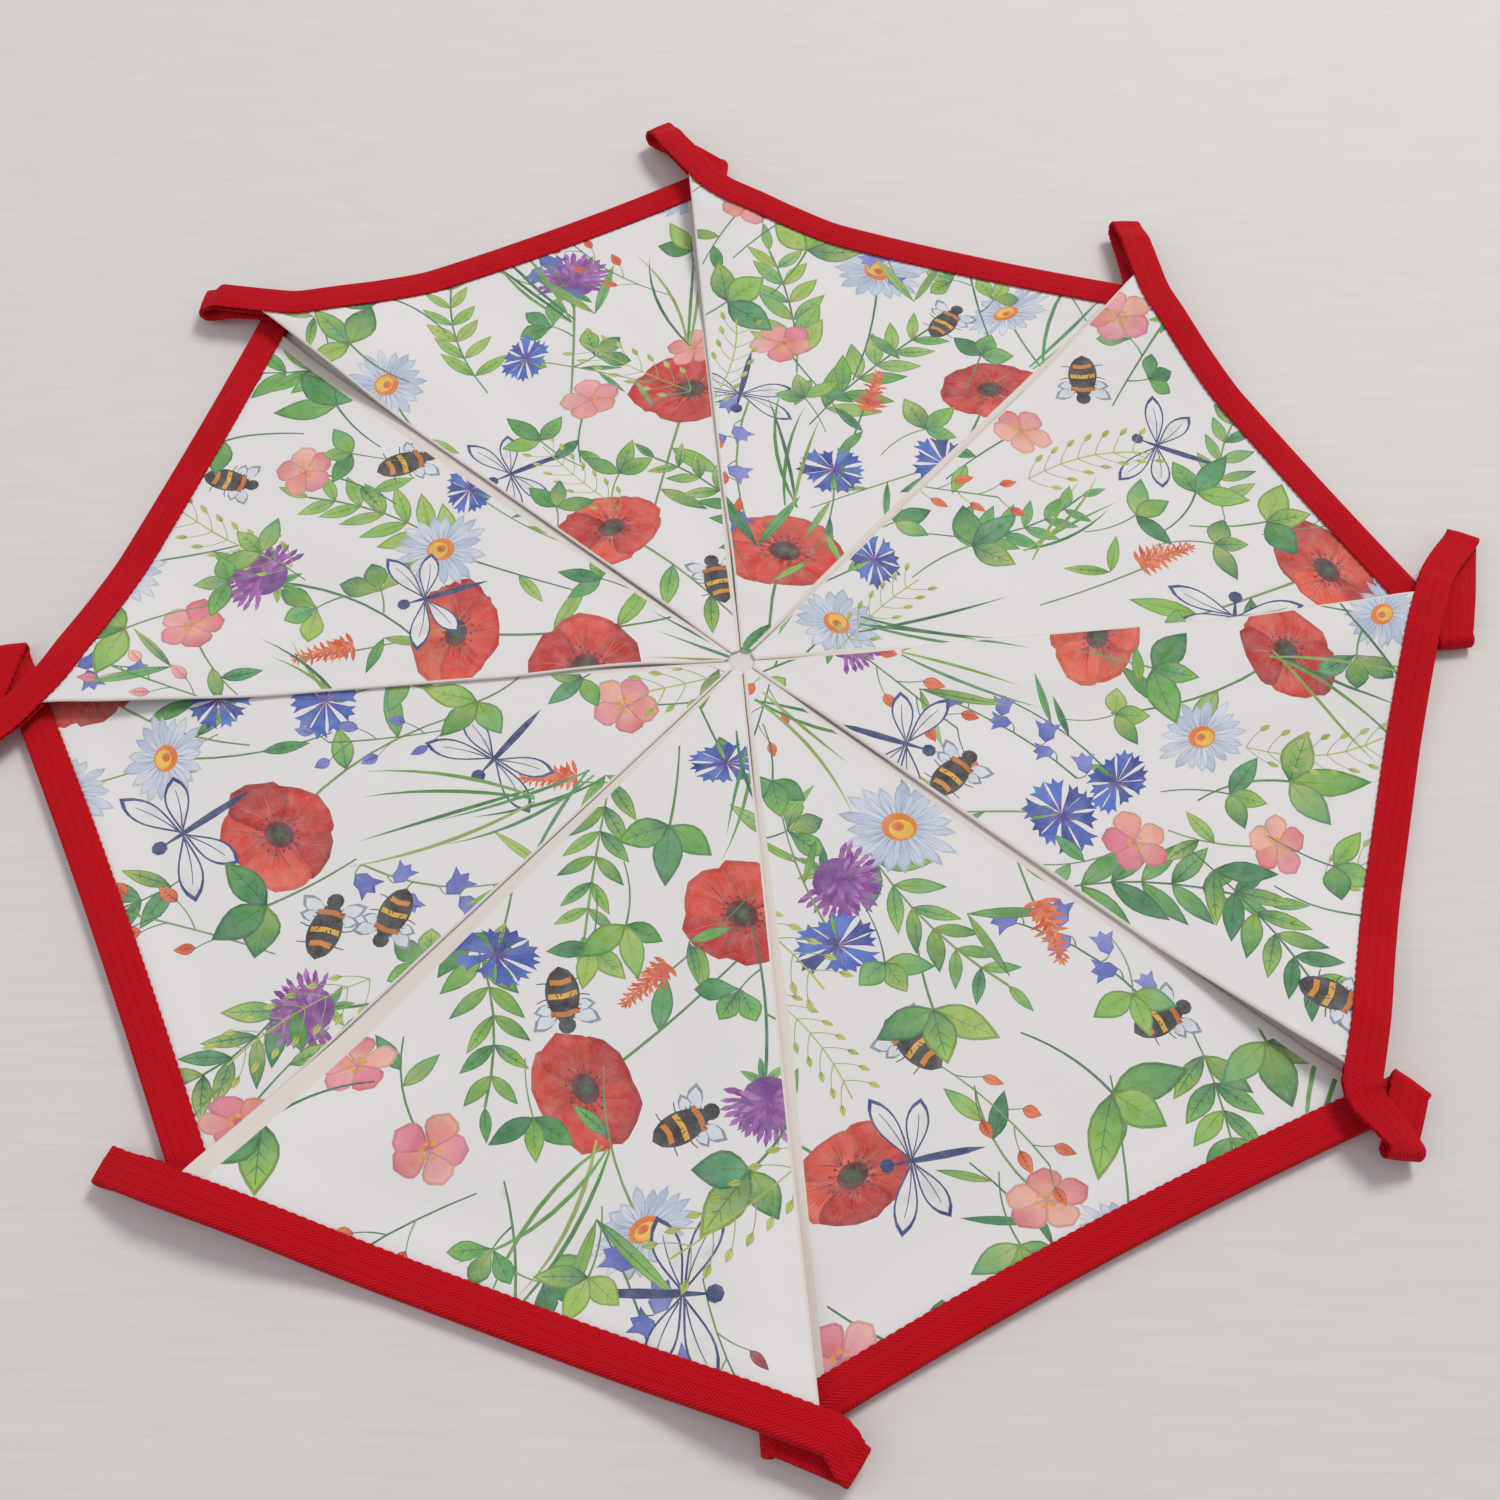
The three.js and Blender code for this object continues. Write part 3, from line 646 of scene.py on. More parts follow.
    def dragonfly(self):
        """Drawn in line only, with open wings."""
        for side in (-1, 1):
            for angle, length in ((1.2, 11), (1.95, 9.5)):
                wing = leaf_outline(length, 3.4, 0.62, 0.75, 9) * cmath.rect(1, side * angle)
                middle = wing.mean()
                self.add(wing, INK, INK * 1.3)
                self.add(middle + (wing - middle) * 0.84, GROUND, GROUND)
                vein = arc(1 + 0j, length * 0.75 + 0j, 0.08 * side, 6) * cmath.rect(1, side * angle)
                self.add(strip(vein, 0.2, 0.1), INK, INK * 1.3)
        self.add(leaf_outline(15, 1.2, 0.4, 1, 6) - 11, INK, INK)
        self.add(3.6 + ring(1.1, 8), INK, INK)


# room: round its middle. middle: how high that is above the motif's own origin. size: how much it is
# enlarged. count: on one flag, on average.
MotifRow = namedtuple("MotifRow", "name room middle size count")
MOTIFS = [
    MotifRow("poppy", 18, -8, 2.1, 1.7),
    MotifRow("sprig", 16, 0, 1.9, 2.0),
    MotifRow("daisy", 14, -6, 2.2, 1.7),
    MotifRow("clover", 14, -8, 2.0, 1.4),
    MotifRow("cornflower", 13, -7, 1.9, 1.6),
    MotifRow("bells", 13, -8, 2.0, 1.2),
    MotifRow("spike", 12, -4, 1.9, 1.1),
    MotifRow("blossom", 10, -4, 2.2, 2.0),
    MotifRow("buds", 11, -6, 2.0, 1.6),
    MotifRow("dragonfly", 9, -3, 2.4, 1.2),
    MotifRow("bee", 6, 0, 2.5, 1.4),
    MotifRow("leaves", 10, 0, 2.0, 3.0),
    MotifRow("fern", 10, -1, 1.8, 1.5),
    MotifRow("grass", 9, 0, 2.0, 2.0),
    MotifRow("leaves", 9, 0, 1.4, 4.0),
]
INSECTS = ("bee", "dragonfly")
TRIES = 80
CROWDING = 0.52


def scatter(flag, seed, density):
    """Fills one flag with motifs: large ones first, and smaller ones in the gaps."""
    painting = Painting(seed)
    chance = painting.chance
    taken = []
    for row in MOTIFS:
        for _ in range(int(row.count * density + chance.random())):
            room = row.room * row.size
            for _ in range(TRIES):
                v = flag.top * math.sqrt(chance.random())
                u = chance.uniform(-1, 1) * v * math.tan(SIDE_ANGLE)
                if all(abs(complex(u, v) - at) > CROWDING * (room + other) for at, other in taken):
                    break
            else:
                continue
            taken.append((complex(u, v), room))
            turn = chance.uniform(0, 6.28) if row.name in INSECTS else chance.uniform(-0.7, 0.7)
            size = row.size * chance.uniform(0.88, 1.12)
            painting.place(complex(u, v) - 1j * row.middle * cmath.rect(size, turn), turn, size)
            getattr(painting, row.name)()
    return painting.shapes


def edge_bands(flag):
    """The unprinted cloth along the flag's two long edges."""
    v = np.linspace(BAND_START, flag.corner(1) + 2, BAND_POINTS)
    bands = []
    for sign, _, _, band, half_turn in flag.sides:
        edge = sign * flag.half_width(half_turn, v)
        width = np.minimum(band, BAND_SLIM + BAND_SPREAD * v) / math.cos(SIDE_ANGLE)
        outer = edge + sign * BAND_PAST + 1j * v
        inner = edge - sign * width + 1j * v
        outline = counterclockwise(np.concatenate([outer, inner[::-1]]))
        bands.append((outline, SELVEDGE, SELVEDGE, outer[0], flag.reach))
    return bands


# How a flag's edge is rounded: the distance in from the edge, the share of the thickness there, and how
# much of that thickness is the turned-in seam's
EDGE_PROFILE = np.array(
    [(0, 0.45, 1), (0.22, 0.8, 1), (0.6, 1, 1), (1.3, 1, 1), (3.2, 1, 1), (4.6, 1, 0)], dtype=float
)
OUTLINE_STEP = 2.5
RING_STEP = 3
CLOSEST = 1e-5
GRID_START = 6
GRID_ROOM = 0.6
ROW_SPACING = 0.866


class Plan:
    """The points, edges and outlines that one side of a flag is divided by."""

    def __init__(self, outline):
        self.points, self.edges, self.faces = [], [], []
        self.faces.append(self.take(outline))

    def take(self, loop):
        first = len(self.points)
        self.points.extend(Vector((p.real, p.imag)) for p in loop)
        return list(range(first, len(self.points)))

    def rings(self, flag, distances):
        for distance in distances:
            loop = self.take(flag.inset(distance, RING_STEP))
            self.edges += list(zip(loop, loop[1:] + loop[:1]))

    def grid(self, flag, spacing, margin):
        for row, v in enumerate(np.arange(GRID_START, flag.top, spacing * ROW_SPACING)):
            u = np.arange(-flag.half_top, flag.half_top, spacing) + (row % 2) * spacing / 2
            self.take((u + 1j * v)[flag.depth(u, v) > margin])

    def divided(self):
        """The places, the triangles inside the outline, the outlines round each, and each point's place."""
        places, _, triangles, sources, _, origins = delaunay_2d_cdt(
            self.points, self.edges, self.faces, 1, CLOSEST, True
        )
        kept = [i for i, ids in enumerate(origins) if 0 in ids]
        went = {given: i for i, ids in enumerate(sources) for given in ids}
        plan = np.array([(p.x, p.y) for p in places])
        return plan, np.array([triangles[i] for i in kept]), [origins[i] for i in kept], went


def flag_mesh(flag, options):
    """One closed sheet: the printed face, the plain back, and the rolled edge between them."""
    outline = flag.inset(0, OUTLINE_STEP)
    face = Plan(outline)
    face.rings(flag, EDGE_PROFILE[1:, 0])
    face.grid(flag, options.grid, EDGE_PROFILE[-1, 0] + GRID_ROOM)
    shapes = scatter(flag, options.seed + flag.number, options.density) + edge_bands(flag)
    shapes = [s for s in shapes if s[0].imag.max() > 2 and s[0].imag.min() < flag.reach]
    for shape in shapes:
        face.faces.append(face.take(shape[0]))
    plan, tri, origins, _ = face.divided()
    top_shape = np.array([max(ids) for ids in origins])

    # The print's colours at each corner of each triangle, with the paint's amount as alpha
    near = np.array([GROUND] + [s[1] for s in shapes])
    far = np.array([GROUND] + [s[2] for s in shapes])
    heart = np.array([0] + [s[3] for s in shapes])
    reach = np.array([1] + [s[4] for s in shapes])
    corner = plan[tri]
    away = np.abs(corner[..., 0] + 1j * corner[..., 1] - heart[top_shape][:, None])
    share = np.clip(away / reach[top_shape][:, None], 0, 1)[..., None]
    colour = near[top_shape][:, None] * (1 - share) + far[top_shape][:, None] * share
    painted = (top_shape > 0) & (top_shape < len(shapes) - 1)
    alpha = np.repeat(painted.astype(float)[:, None, None], 3, axis=1)
    face_colours = np.concatenate([np.clip(colour, 0, 1), alpha], axis=-1).reshape(-1, 4)

    # The back has the same edge and far fewer points
    directed = {(a, b) for t in tri.tolist() for a, b in ((t[0], t[1]), (t[1], t[2]), (t[2], t[0]))}
    following = {a: b for a, b in directed if (b, a) not in directed}
    edge = [next(iter(sorted(following)))]
    while following[edge[-1]] != edge[0]:
        edge.append(following[edge[-1]])
    back = Plan(plan[edge, 0] + 1j * plan[edge, 1])
    back.rings(flag, EDGE_PROFILE[1::2, 0])
    back.grid(flag, 2 * options.grid, EDGE_PROFILE[-1, 0])
    back_plan, back_tri, _, went = back.divided()

    def surface(places, sign):
        u, v = places[:, 0], places[:, 1]
        share = np.interp(flag.depth(u, v), EDGE_PROFILE[:, 0], EDGE_PROFILE[:, 1])
        half = lerp(options.cloth * 0.5, options.seam * 0.5, EDGE_PROFILE[:, 2])
        thick = np.interp(flag.depth(u, v), EDGE_PROFILE[:, 0], half) * share
        return flag.world(u, v, flag.height(u, v) + CLOTH / 2 + sign * thick)

    count = len(plan)
    below = [count + went[i] for i in range(len(edge))]
    rim = [(edge[i], edge[i - 1], below[i - 1], below[i]) for i in range(len(edge))]
    every = tri.tolist() + (back_tri[:, ::-1] + count).tolist() + rim
    colours = np.tile([*GROUND, 0], (3 * len(back_tri) + 4 * len(rim), 1))
    return (
        np.concatenate([surface(plan, 1), surface(back_plan, -1)]),
        every,
        np.concatenate([plan, back_plan]),
        np.concatenate([face_colours, colours]),
        enclosed(outline) * MM * MM,
    )


# The tape: a row of stations, each the middle of its section, with the direction of travel, a ruling that
# points to the folded edge, the direction from the lower to the upper layer, and the room between them.

Station = namedtuple("Station", "centre travel across ruling face slot")


def turned(vector, axis, angle):
    return Quaternion(axis, angle) @ vector


def station(centre, travel, across, face, slant, slot):
    """A station whose ruling slants, as it does next to a slanting fold."""
    return Station(centre, travel, across, (across + travel * slant) * (TAPE_WIDTH / 2), face, slot)


def bound_station(flag, u):
    """A station where the tape holds a flag's top edge."""
    across = (flag.out - flag.left * flag.edge_slope(u)).normalized()

    def height(at):
        return float(flag.height(at, flag.reach)) - HOLD_GAP + BOUND_SLOT / 2

    edge = flag.out * flag.tape_outer(u) + flag.left * u + UP * height(u)
    climb = height(u - 0.5) - height(u + 0.5)
    travel = (across.cross(UP) + UP * climb).normalized()
    return station(edge - across * (TAPE_WIDTH / 2), travel, across, travel.cross(across), 0, BOUND_SLOT)


def fold_over(start, slant, radius, rise_to):
    """The tape turns half round about an axis in its own plane, towards the side that rise_to points to."""
    axis = (start.across + start.travel * slant).normalized()
    sense = math.copysign(1, rise_to.cross(axis).dot(start.travel))
    hub = start.centre + rise_to * radius
    half = (TAPE_WIDTH / 2) * math.hypot(1, slant)
    stations = []
    for i in range(1, FOLD_STEPS + 1):
        angle = sense * math.pi * i / FOLD_STEPS
        centre = hub - turned(rise_to, axis, angle) * radius
        turns = [turned(v, axis, angle) for v in (start.travel, start.across, start.face)]
        stations.append(Station(centre, turns[0], turns[1], axis * half, turns[2], CLOSED_SLOT))
    return stations


def slant_between(one, across, other):
    """The slant of the fold that turns the tape from one direction of travel to the other."""
    angle = (math.atan2(one.y, one.x) + math.atan2(other.y, other.x)) / 2
    axis = Vector((math.cos(angle), math.sin(angle), 0))
    return axis.dot(one) / axis.dot(across)


def away_from(flag, sign):
    """The tape's station at a flag's corner, with its travel away from the flag."""
    end = bound_station(flag, flag.column_top(sign))
    return end._replace(travel=-end.travel) if sign > 0 else end


def level(vector):
    return Vector((vector.x, vector.y, 0)).normalized()


def at_height(vector, z):
    return Vector((vector.x, vector.y, z))


def hermite(a, a_travel, b, b_travel, length, t):
    """A place on the smooth curve between two places with given directions of travel."""
    s2, s3 = t * t, t * t * t
    return (
        a * (2 * s3 - 3 * s2 + 1)
        + a_travel * length * (s3 - 2 * s2 + t)
        + b * (3 * s2 - 2 * s3)
        + b_travel * length * (s3 - s2)
    )


def make_loop(row):
    """A loop, from the lower flag's corner to the upper one's, in three strands with two folds."""
    clockwise = row.upper == row.lower % len(FLAGS) + 1
    hand = 1 if clockwise else -1
    start = away_from(flags[row.lower], -hand)
    end = away_from(flags[row.upper], hand)
    along, outwards = level(start.travel), level(end.travel)
    corner = at_height(start.centre + along * row.past, FREE_HEIGHT)
    tip = at_height(
        end.centre + turned(outwards, UP, -hand * math.radians(row.swing)) * row.reach, row.tip_height
    )
    length = at_height(tip - corner, 0).length
    middle = level(tip - corner)

    corner_slant = slant_between(along, start.across, middle)
    bottom = []
    for share in BOTTOM_SHARES:
        settled = float(rise((share - BOTTOM_SHARES[0]) / SETTLE_RUN))
        height = lerp(start.centre.z, FREE_HEIGHT, settled)
        centre = at_height(start.centre + along * (share * row.past), height)
        slant = corner_slant * np.clip(1 - ((1 - share) * row.past) / RAMP, 0, 1)
        slot = lerp(BOUND_SLOT, CLOSED_SLOT, settled)
        bottom.append(station(centre, along, start.across, UP, slant, slot))

    corner_fold = fold_over(bottom[-1], corner_slant, (CROSS_HEIGHT - FREE_HEIGHT) / 2, UP)
    over = corner_fold[-1]

    roll = hand * math.radians(row.roll)
    tip_slant = slant_between(middle, over.across, level(end.centre - tip))
    strand = []
    for share in STRAND_SHARES:
        settled = float(rise((share * length - CROSS_RUN) / (length - CROSS_RUN)))
        height = lerp(CROSS_HEIGHT, row.tip_height, settled)
        centre = at_height(over.centre + middle * (share * length), height)
        angle = roll * float(rise(share))
        slant = corner_slant * np.clip(1 - share * length / RAMP, 0, 1)
        slant += tip_slant * np.clip(1 - (1 - share) * length / RAMP, 0, 1)
        across, face = turned(over.across, middle, angle), turned(over.face, middle, angle)
        strand.append(station(centre, middle, across, face, slant, CLOSED_SLOT))

    tip_fold = fold_over(strand[-1], tip_slant, row.tip_radius, turned(UP, middle, roll))
    first = tip_fold[-1]

    span = (end.centre - first.centre).length

    def top_place(share):
        place = hermite(first.centre, first.travel, end.centre, -end.travel, span, share)
        return place + UP * (row.hump * math.sin(math.pi * share) ** 2)

    top = []
    for share in TOP_SHARES:
        centre = top_place(share)
        travel = (top_place(share + 0.01) - centre).normalized()
        across = turned(UP.cross(travel).normalized() * hand, travel, -roll * float(fall(share / ROLL_END)))
        slant = tip_slant * np.clip(1 - share * span / RAMP, 0, 1)
        slot = lerp(BOUND_SLOT, CLOSED_SLOT, float(rise(((1 - share) * span - CORNER_ROOM) / CLOSING)))
        top.append(station(centre, travel, across, travel.cross(across) * hand, slant, slot))
    return clockwise, bottom + corner_fold + strand, tip_fold, top


def tape_stations():
    """The whole tape, clockwise, from its free end at the first loop round to its other end below it."""
    loops = [make_loop(row) for row in LOOPS]
    stations = list(loops[0][3])
    for i, number in enumerate([LOOPS[0].upper, *range(1, LOOPS[0].upper)]):
        flag = flags[number]
        stations += [bound_station(flag, flag.column_top(column)) for column in reversed(CLOTH_COLUMNS)]
        clockwise, lower, tip, top = loops[(i + 1) % len(loops)]
        if number == LOOPS[0].lower:
            stations += lower
        else:
            whole = lower + tip + top
            stations += whole if clockwise else whole[::-1]
    return stations


def smooth_through(at, values, new):
    """A smooth curve through values that never swings out past them."""
    gaps = np.diff(at)[:, None]
    slopes = np.diff(values, axis=0) / gaps
    tangents = np.zeros_like(values)
    before, after = slopes[:-1], slopes[1:]
    same = before * after > 0
    with np.errstate(divide="ignore", invalid="ignore"):
        w1, w2 = 2 * gaps[1:] + gaps[:-1], gaps[1:] + 2 * gaps[:-1]
        harmonic = (w1 + w2) / (w1 / before + w2 / after)
    tangents[1:-1] = np.where(same, harmonic, 0)
    tangents[0], tangents[-1] = slopes[0], slopes[-1]
    i = np.clip(np.searchsorted(at, new, side="right") - 1, 0, len(at) - 2)
    h = gaps[i]
    t = ((new - at[i]) / h[:, 0])[:, None]
    return (
        values[i] * (2 * t**3 - 3 * t**2 + 1)
        + tangents[i] * h * (t**3 - 2 * t**2 + t)
        + values[i + 1] * (3 * t**2 - 2 * t**3)
        + tangents[i + 1] * h * (t**3 - t**2)
    )


def unit(vectors):
    return vectors / np.linalg.norm(vectors, axis=1)[:, None]


def fine_tape(step):
    """The tape's stations, close together: places, rulings, faces, slots and the length so far."""
    stations = tape_stations()
    values = np.array([[*s.centre, *s.ruling, *s.face, s.slot] for s in stations])
    at = np.concatenate([[0], np.cumsum(np.linalg.norm(np.diff(values[:, :3], axis=0), axis=1))])
    new = np.append(np.arange(0, at[-1] - step / 2, step), at[-1])
    # Twice as many where the tape turns over
    face = unit(smooth_through(at, values, new)[:, 6:9])
    turning = np.sum(face[1:] * face[:-1], axis=1) < TURNING
    new = np.sort(np.concatenate([new, ((new[1:] + new[:-1]) / 2)[turning]]))
    fine = smooth_through(at, values, new)
    return fine[:, :3], fine[:, 3:6], unit(fine[:, 6:9]), fine[:, 9], new


def tape_mesh(options):
    """The folded tape: its points, faces and flat coordinates, the line of its stitches, and its length."""
    centre, ruling, face, slot, along = fine_tape(options.scallop_pitch / options.sections)
    rings = len(along)
    thick = options.layer
    bound = (slot - CLOSED_SLOT) / (BOUND_SLOT - CLOSED_SLOT)
    outer = slot / 2 + TAPE_SHEET
    lowest = PRESSED_HEIGHT + CLOTH_BETWEEN * bound + thick
    free = np.abs(np.sin(math.pi * along / options.scallop_pitch)) ** SCALLOP_SHARPNESS
    scallop = options.scallop * (1 - free) / (TAPE_WIDTH / 2)
    places = np.arange(0, along[-1] + 2 * DRIFT_SPACING, DRIFT_SPACING)
    chance = np.random.default_rng(DRIFT_SEED)
    drift = np.interp(along, places, chance.normal(0, DRIFT, len(places)))

    def columns(side, inner):
        """One face of one layer, from the open edge to the fold: places across, heights and flat places."""
        made = []
        for place, share in [(place, 1) for place in SECTION_SHARES] + list(FOLD_EDGE):
            press = rise((-place - PRESS_FROM) / PRESS_RUN)
            rounding = OPEN_ROUNDING * thick if place == -1 else 0
            across = place + scallop * rise((-place - SCALLOP_FROM) / SCALLOP_RUN)
            across = across + DRIFT_SHARE * drift * rise(-place)
            height = lerp(outer, lowest, press) * share
            height = height - thick + rounding if inner else height - rounding
            if inner and place > INNER_FROM:
                height = np.maximum(height, LEAST_ROOM) * (INNER_SHRINK if share < 1 else 1)
                across = across - INNER_FOLD
            ripple = RIPPLE * np.sin(2 * math.pi * along / options.scallop_pitch) * press
            flat = TAPE_WIDTH - side * (1 - place) * TAPE_WIDTH / 2
            made.append((across, side * (height + ripple), flat))
        return made

    # Along the lower layer's outside to the fold, back along the upper layer's, and then along the inside
    order = columns(-1, False) + columns(1, False)[::-1] + columns(1, True) + columns(-1, True)[::-1]
    points = np.stack([centre + ruling * w[:, None] + face * n[:, None] for w, n, _ in order], axis=1)
    sides = len(order)
    faces = []
    for s in range(rings - 1):
        a = s * sides
        for i in range(sides):
            j = (i + 1) % sides
            faces.append((a + i, a + j, a + j + sides, a + i + sides))
    half = sides // 2
    for i in range(half - 1):
        quad = (i, i + 1, sides - 2 - i, sides - 1 - i)
        faces.append(quad[::-1])
        faces.append(tuple(q + (rings - 1) * sides for q in quad))
    uv = np.stack([np.repeat(along, sides), np.tile([flat for _, _, flat in order], rings)], axis=1)
    height = lerp(outer, lowest, rise((-SEAM_ACROSS - PRESS_FROM) / PRESS_RUN))
    seam = centre + ruling * SEAM_ACROSS + face * height[:, None]
    return points.reshape(-1, 3), faces, uv, seam, along[-1]


# Materials


class Value:
    """A shader socket that takes part in plain arithmetic."""

    def __init__(self, tree, socket):
        self.tree, self.socket = tree, socket

    def node(self, kind, settings, inputs, output=0):
        """Any node: its type, its settings, its inputs by name or number, and which output is meant."""
        node = self.tree.nodes.new(kind)
        for name, value in settings.items():
            setattr(node, name, value)
        for name, value in inputs.items():
            if isinstance(value, Value):
                self.tree.links.new(value.socket, node.inputs[name])
            else:
                node.inputs[name].default_value = value
        return Value(self.tree, node.outputs[output])

    def maths(self, operation, *values):
        inputs = dict(enumerate(values))
        return self.node("ShaderNodeMath", {"operation": operation}, inputs)

    def __add__(self, other):
        return self.maths("ADD", self, other)

    def __sub__(self, other):
        return self.maths("SUBTRACT", self, other)

    def __rsub__(self, other):
        return self.maths("SUBTRACT", other, self)

    def __mul__(self, other):
        return self.maths("MULTIPLY", self, other)

    def __truediv__(self, other):
        return self.maths("DIVIDE", self, other)

    def __pow__(self, other):
        return self.maths("POWER", self, other)

    def __abs__(self):
        return self.maths("ABSOLUTE", self)

    __radd__, __rmul__ = __add__, __mul__

    def sine(self):
        return self.maths("SINE", self)

    def wrapped(self, width):
        return self.maths("PINGPONG", self, width)

    def limited(self, low, high):
        return self.maths("MINIMUM", self.maths("MAXIMUM", self, low), high)

    def mixed(self, other, share):
        """This colour, with a share of another."""
        settings = {"data_type": "RGBA", "clamp_factor": True}
        return self.node("ShaderNodeMix", settings, {0: share, 6: self, 7: other}, 2)

    def sibling(self, output):
        """Another output of the same node."""
        return Value(self.tree, self.socket.node.outputs[output])


def new_material(name, settings):
    """A material, its shader and a starting value to grow nodes from."""
    material = bpy.data.materials.new(name)
    material.use_nodes = True
    tree = material.node_tree
    shader = tree.nodes["Principled BSDF"]
    for key, value in settings.items():
        shader.inputs[key].default_value = value
    return material, shader, Value(tree, None)


def join(shader, name, value):
    value.tree.links.new(value.socket, shader.inputs[name])


def flat_place(start, name):
    """The two coordinates of the cloth laid flat, in millimetres."""
    uv = start.node("ShaderNodeUVMap", {"uv_map": name}, {})
    split = uv.node("ShaderNodeSeparateXYZ", {}, {"Vector": uv})
    return uv, split.sibling("X") * 1000, split.sibling("Y") * 1000


def noise(start, place, scale, detail=3.0, roughness=0.6):
    inputs = {"Vector": place, "Scale": scale, "Detail": detail, "Roughness": roughness}
    return start.node("ShaderNodeTexNoise", {}, inputs)


def bumped(shader, height, distance, strength):
    inputs = {"Height": height, "Distance": distance, "Strength": strength}
    join(shader, "Normal", height.node("ShaderNodeBump", {}, inputs))


def cotton_material():
    settings = {"Roughness": 0.9, "Sheen Weight": 0.15, "Sheen Roughness": 0.5, "Specular IOR Level": 0.2}
    material, shader, start = new_material("printed_cotton", settings)
    place, x, y = flat_place(start, "flat")
    paint = start.node("ShaderNodeAttribute", {"attribute_name": "print"}, {}, "Color")
    amount = paint.sibling("Alpha")

    # Pools and pale patches in the paint, and a faint unevenness in the white ground
    pools = (noise(start, place, 170.0, 4.0) * 2.6 - 0.95).limited(0, 1)
    grain = (noise(start, place, 900.0, 2.0) * 2 - 0.6).limited(0, 1)
    paler = amount * (pools * 0.13 + grain * 0.06)
    colour = paint.mixed(PALE_PAINT, paler)
    darker = amount * (noise(start, place, 95.0, 3.0) * 2.4 - 1.1).limited(0, 1) * 0.28
    colour = colour.mixed(DEEP_PAINT, darker)
    ground = (noise(start, place, 22.0, 3.0) - 0.35).limited(0, 1) * 0.10
    colour = colour.mixed(COTTON_SHADE, ground)
    threads = (x * (2 * math.pi / THREAD)).sine() * (y * (2 * math.pi / THREAD)).sine()
    colour = colour.mixed(COTTON_WEAVE, (threads * 0.5 + 0.5) * 0.05)
    join(shader, "Base Color", colour)
    creases = noise(start, place, 34.0, 4.0, 0.55)
    bumped(shader, threads * 0.05 + creases * 1.1, 0.0006, 0.5)
    return material


def tape_material(red):
    settings = {"Roughness": 0.85, "Sheen Weight": 0.04, "Sheen Roughness": 0.4, "Specular IOR Level": 0.12}
    material, shader, start = new_material("red_twill", settings)
    place, x, y = flat_place(start, "flat")
    chevron = y.wrapped(TAPE_COLUMN)
    ribs = ((x * 0.62 + chevron) * (2 * math.pi / TAPE_RIB)).sine()
    turn = (abs(chevron * (2 / TAPE_COLUMN) - 1) ** 8).limited(0, 1)
    fibres = noise(start, place, 2200.0, 2.0)
    patches = noise(start, place, 60.0, 3.0)
    colour = start.node("ShaderNodeRGB", {}, {}, 0)
    colour.socket.default_value = (*red, 1)
    # Painted shade: the red is darkened in the rib grooves and along the herringbone's turns, where the bump
    # sinks
    colour = colour.mixed(TWILL_GROOVE_SHADE, (0.5 - ribs * 0.5) * 0.5)
    colour = colour.mixed(TWILL_TURN_SHADE, turn * 0.35)
    colour = colour.mixed(TWILL_PATCH, (patches * 2 - 0.7).limited(0, 1) * 0.25)
    colour = colour.mixed(TWILL_FIBRE, (fibres * 2 - 0.9).limited(0, 1) * 0.10)
    join(shader, "Base Color", colour)
    bumped(shader, ribs * 0.5 - turn * 0.5 + fibres * 0.3, 0.00035, 0.7)
    return material


def thread_material():
    settings = {"Roughness": 0.75, "Specular IOR Level": 0.15}
    material, shader, start = new_material("red_thread", settings)
    place = start.node("ShaderNodeTexCoord", {}, {}, "Object")
    twist = noise(start, place, 4000.0, 2.0)
    colour = start.node("ShaderNodeRGB", {}, {}, 0)
    colour.socket.default_value = THREAD_RED
    join(shader, "Base Color", colour.mixed(THREAD_LIGHT, twist))
    bumped(shader, twist, 0.0002, 0.5)
    return material


def floor_material(shade):
    settings = {"Roughness": 0.75, "Specular IOR Level": 0.3}
    material, shader, start = new_material("pale_table", settings)
    place = start.node("ShaderNodeTexCoord", {}, {}, "Object")
    mapped = start.node("ShaderNodeMapping", {}, {"Vector": place, "Scale": (1.0, 14.0, 1.0)})
    brushed = noise(start, mapped, 26.0, 5.0, 0.65)
    colour = start.node("ShaderNodeRGB", {}, {}, 0)
    colour.socket.default_value = (*shade, 1)
    darker = (*(c * BRUSHED_SHADE for c in shade), 1)
    join(shader, "Base Color", colour.mixed(darker, brushed))
    bumped(shader, brushed, 0.0004, 0.25)
    return material


def put_mesh(name, points, faces, uv, material, shift):
    """An object whose mesh is in the row frame, in metres, with its flat coordinates as UVs."""
    mesh = bpy.data.meshes.new(name)
    mesh.from_pydata(((np.asarray(points) + shift) * MM).tolist(), [], faces)
    if uv is not None:
        layer = mesh.uv_layers.new(name="flat")
        corners = np.empty(len(mesh.loops), dtype=np.int32)
        mesh.loops.foreach_get("vertex_index", corners)
        layer.data.foreach_set("uv", (np.asarray(uv)[corners] * MM).astype(np.float32).ravel())
    mesh.shade_smooth()
    mesh.materials.append(material)
    piece = bpy.data.objects.new(name, mesh)
    bpy.context.collection.objects.link(piece)
    return piece


def frame_shift():
    """From the wheel's middle to the row frame's origin, in millimetres."""
    stations = tape_stations()
    corners = []
    for s in stations:
        for w in (-1, 1):
            for n in (-1, 1):
                corners.append(s.centre + s.ruling * w + s.face * (n * (s.slot / 2 + TAPE_SHEET)))
    corners = np.array(corners)
    middle = (corners.min(0) + corners.max(0)) / 2
    return np.array([-middle[0], -middle[1], -corners[:, 2].min()])


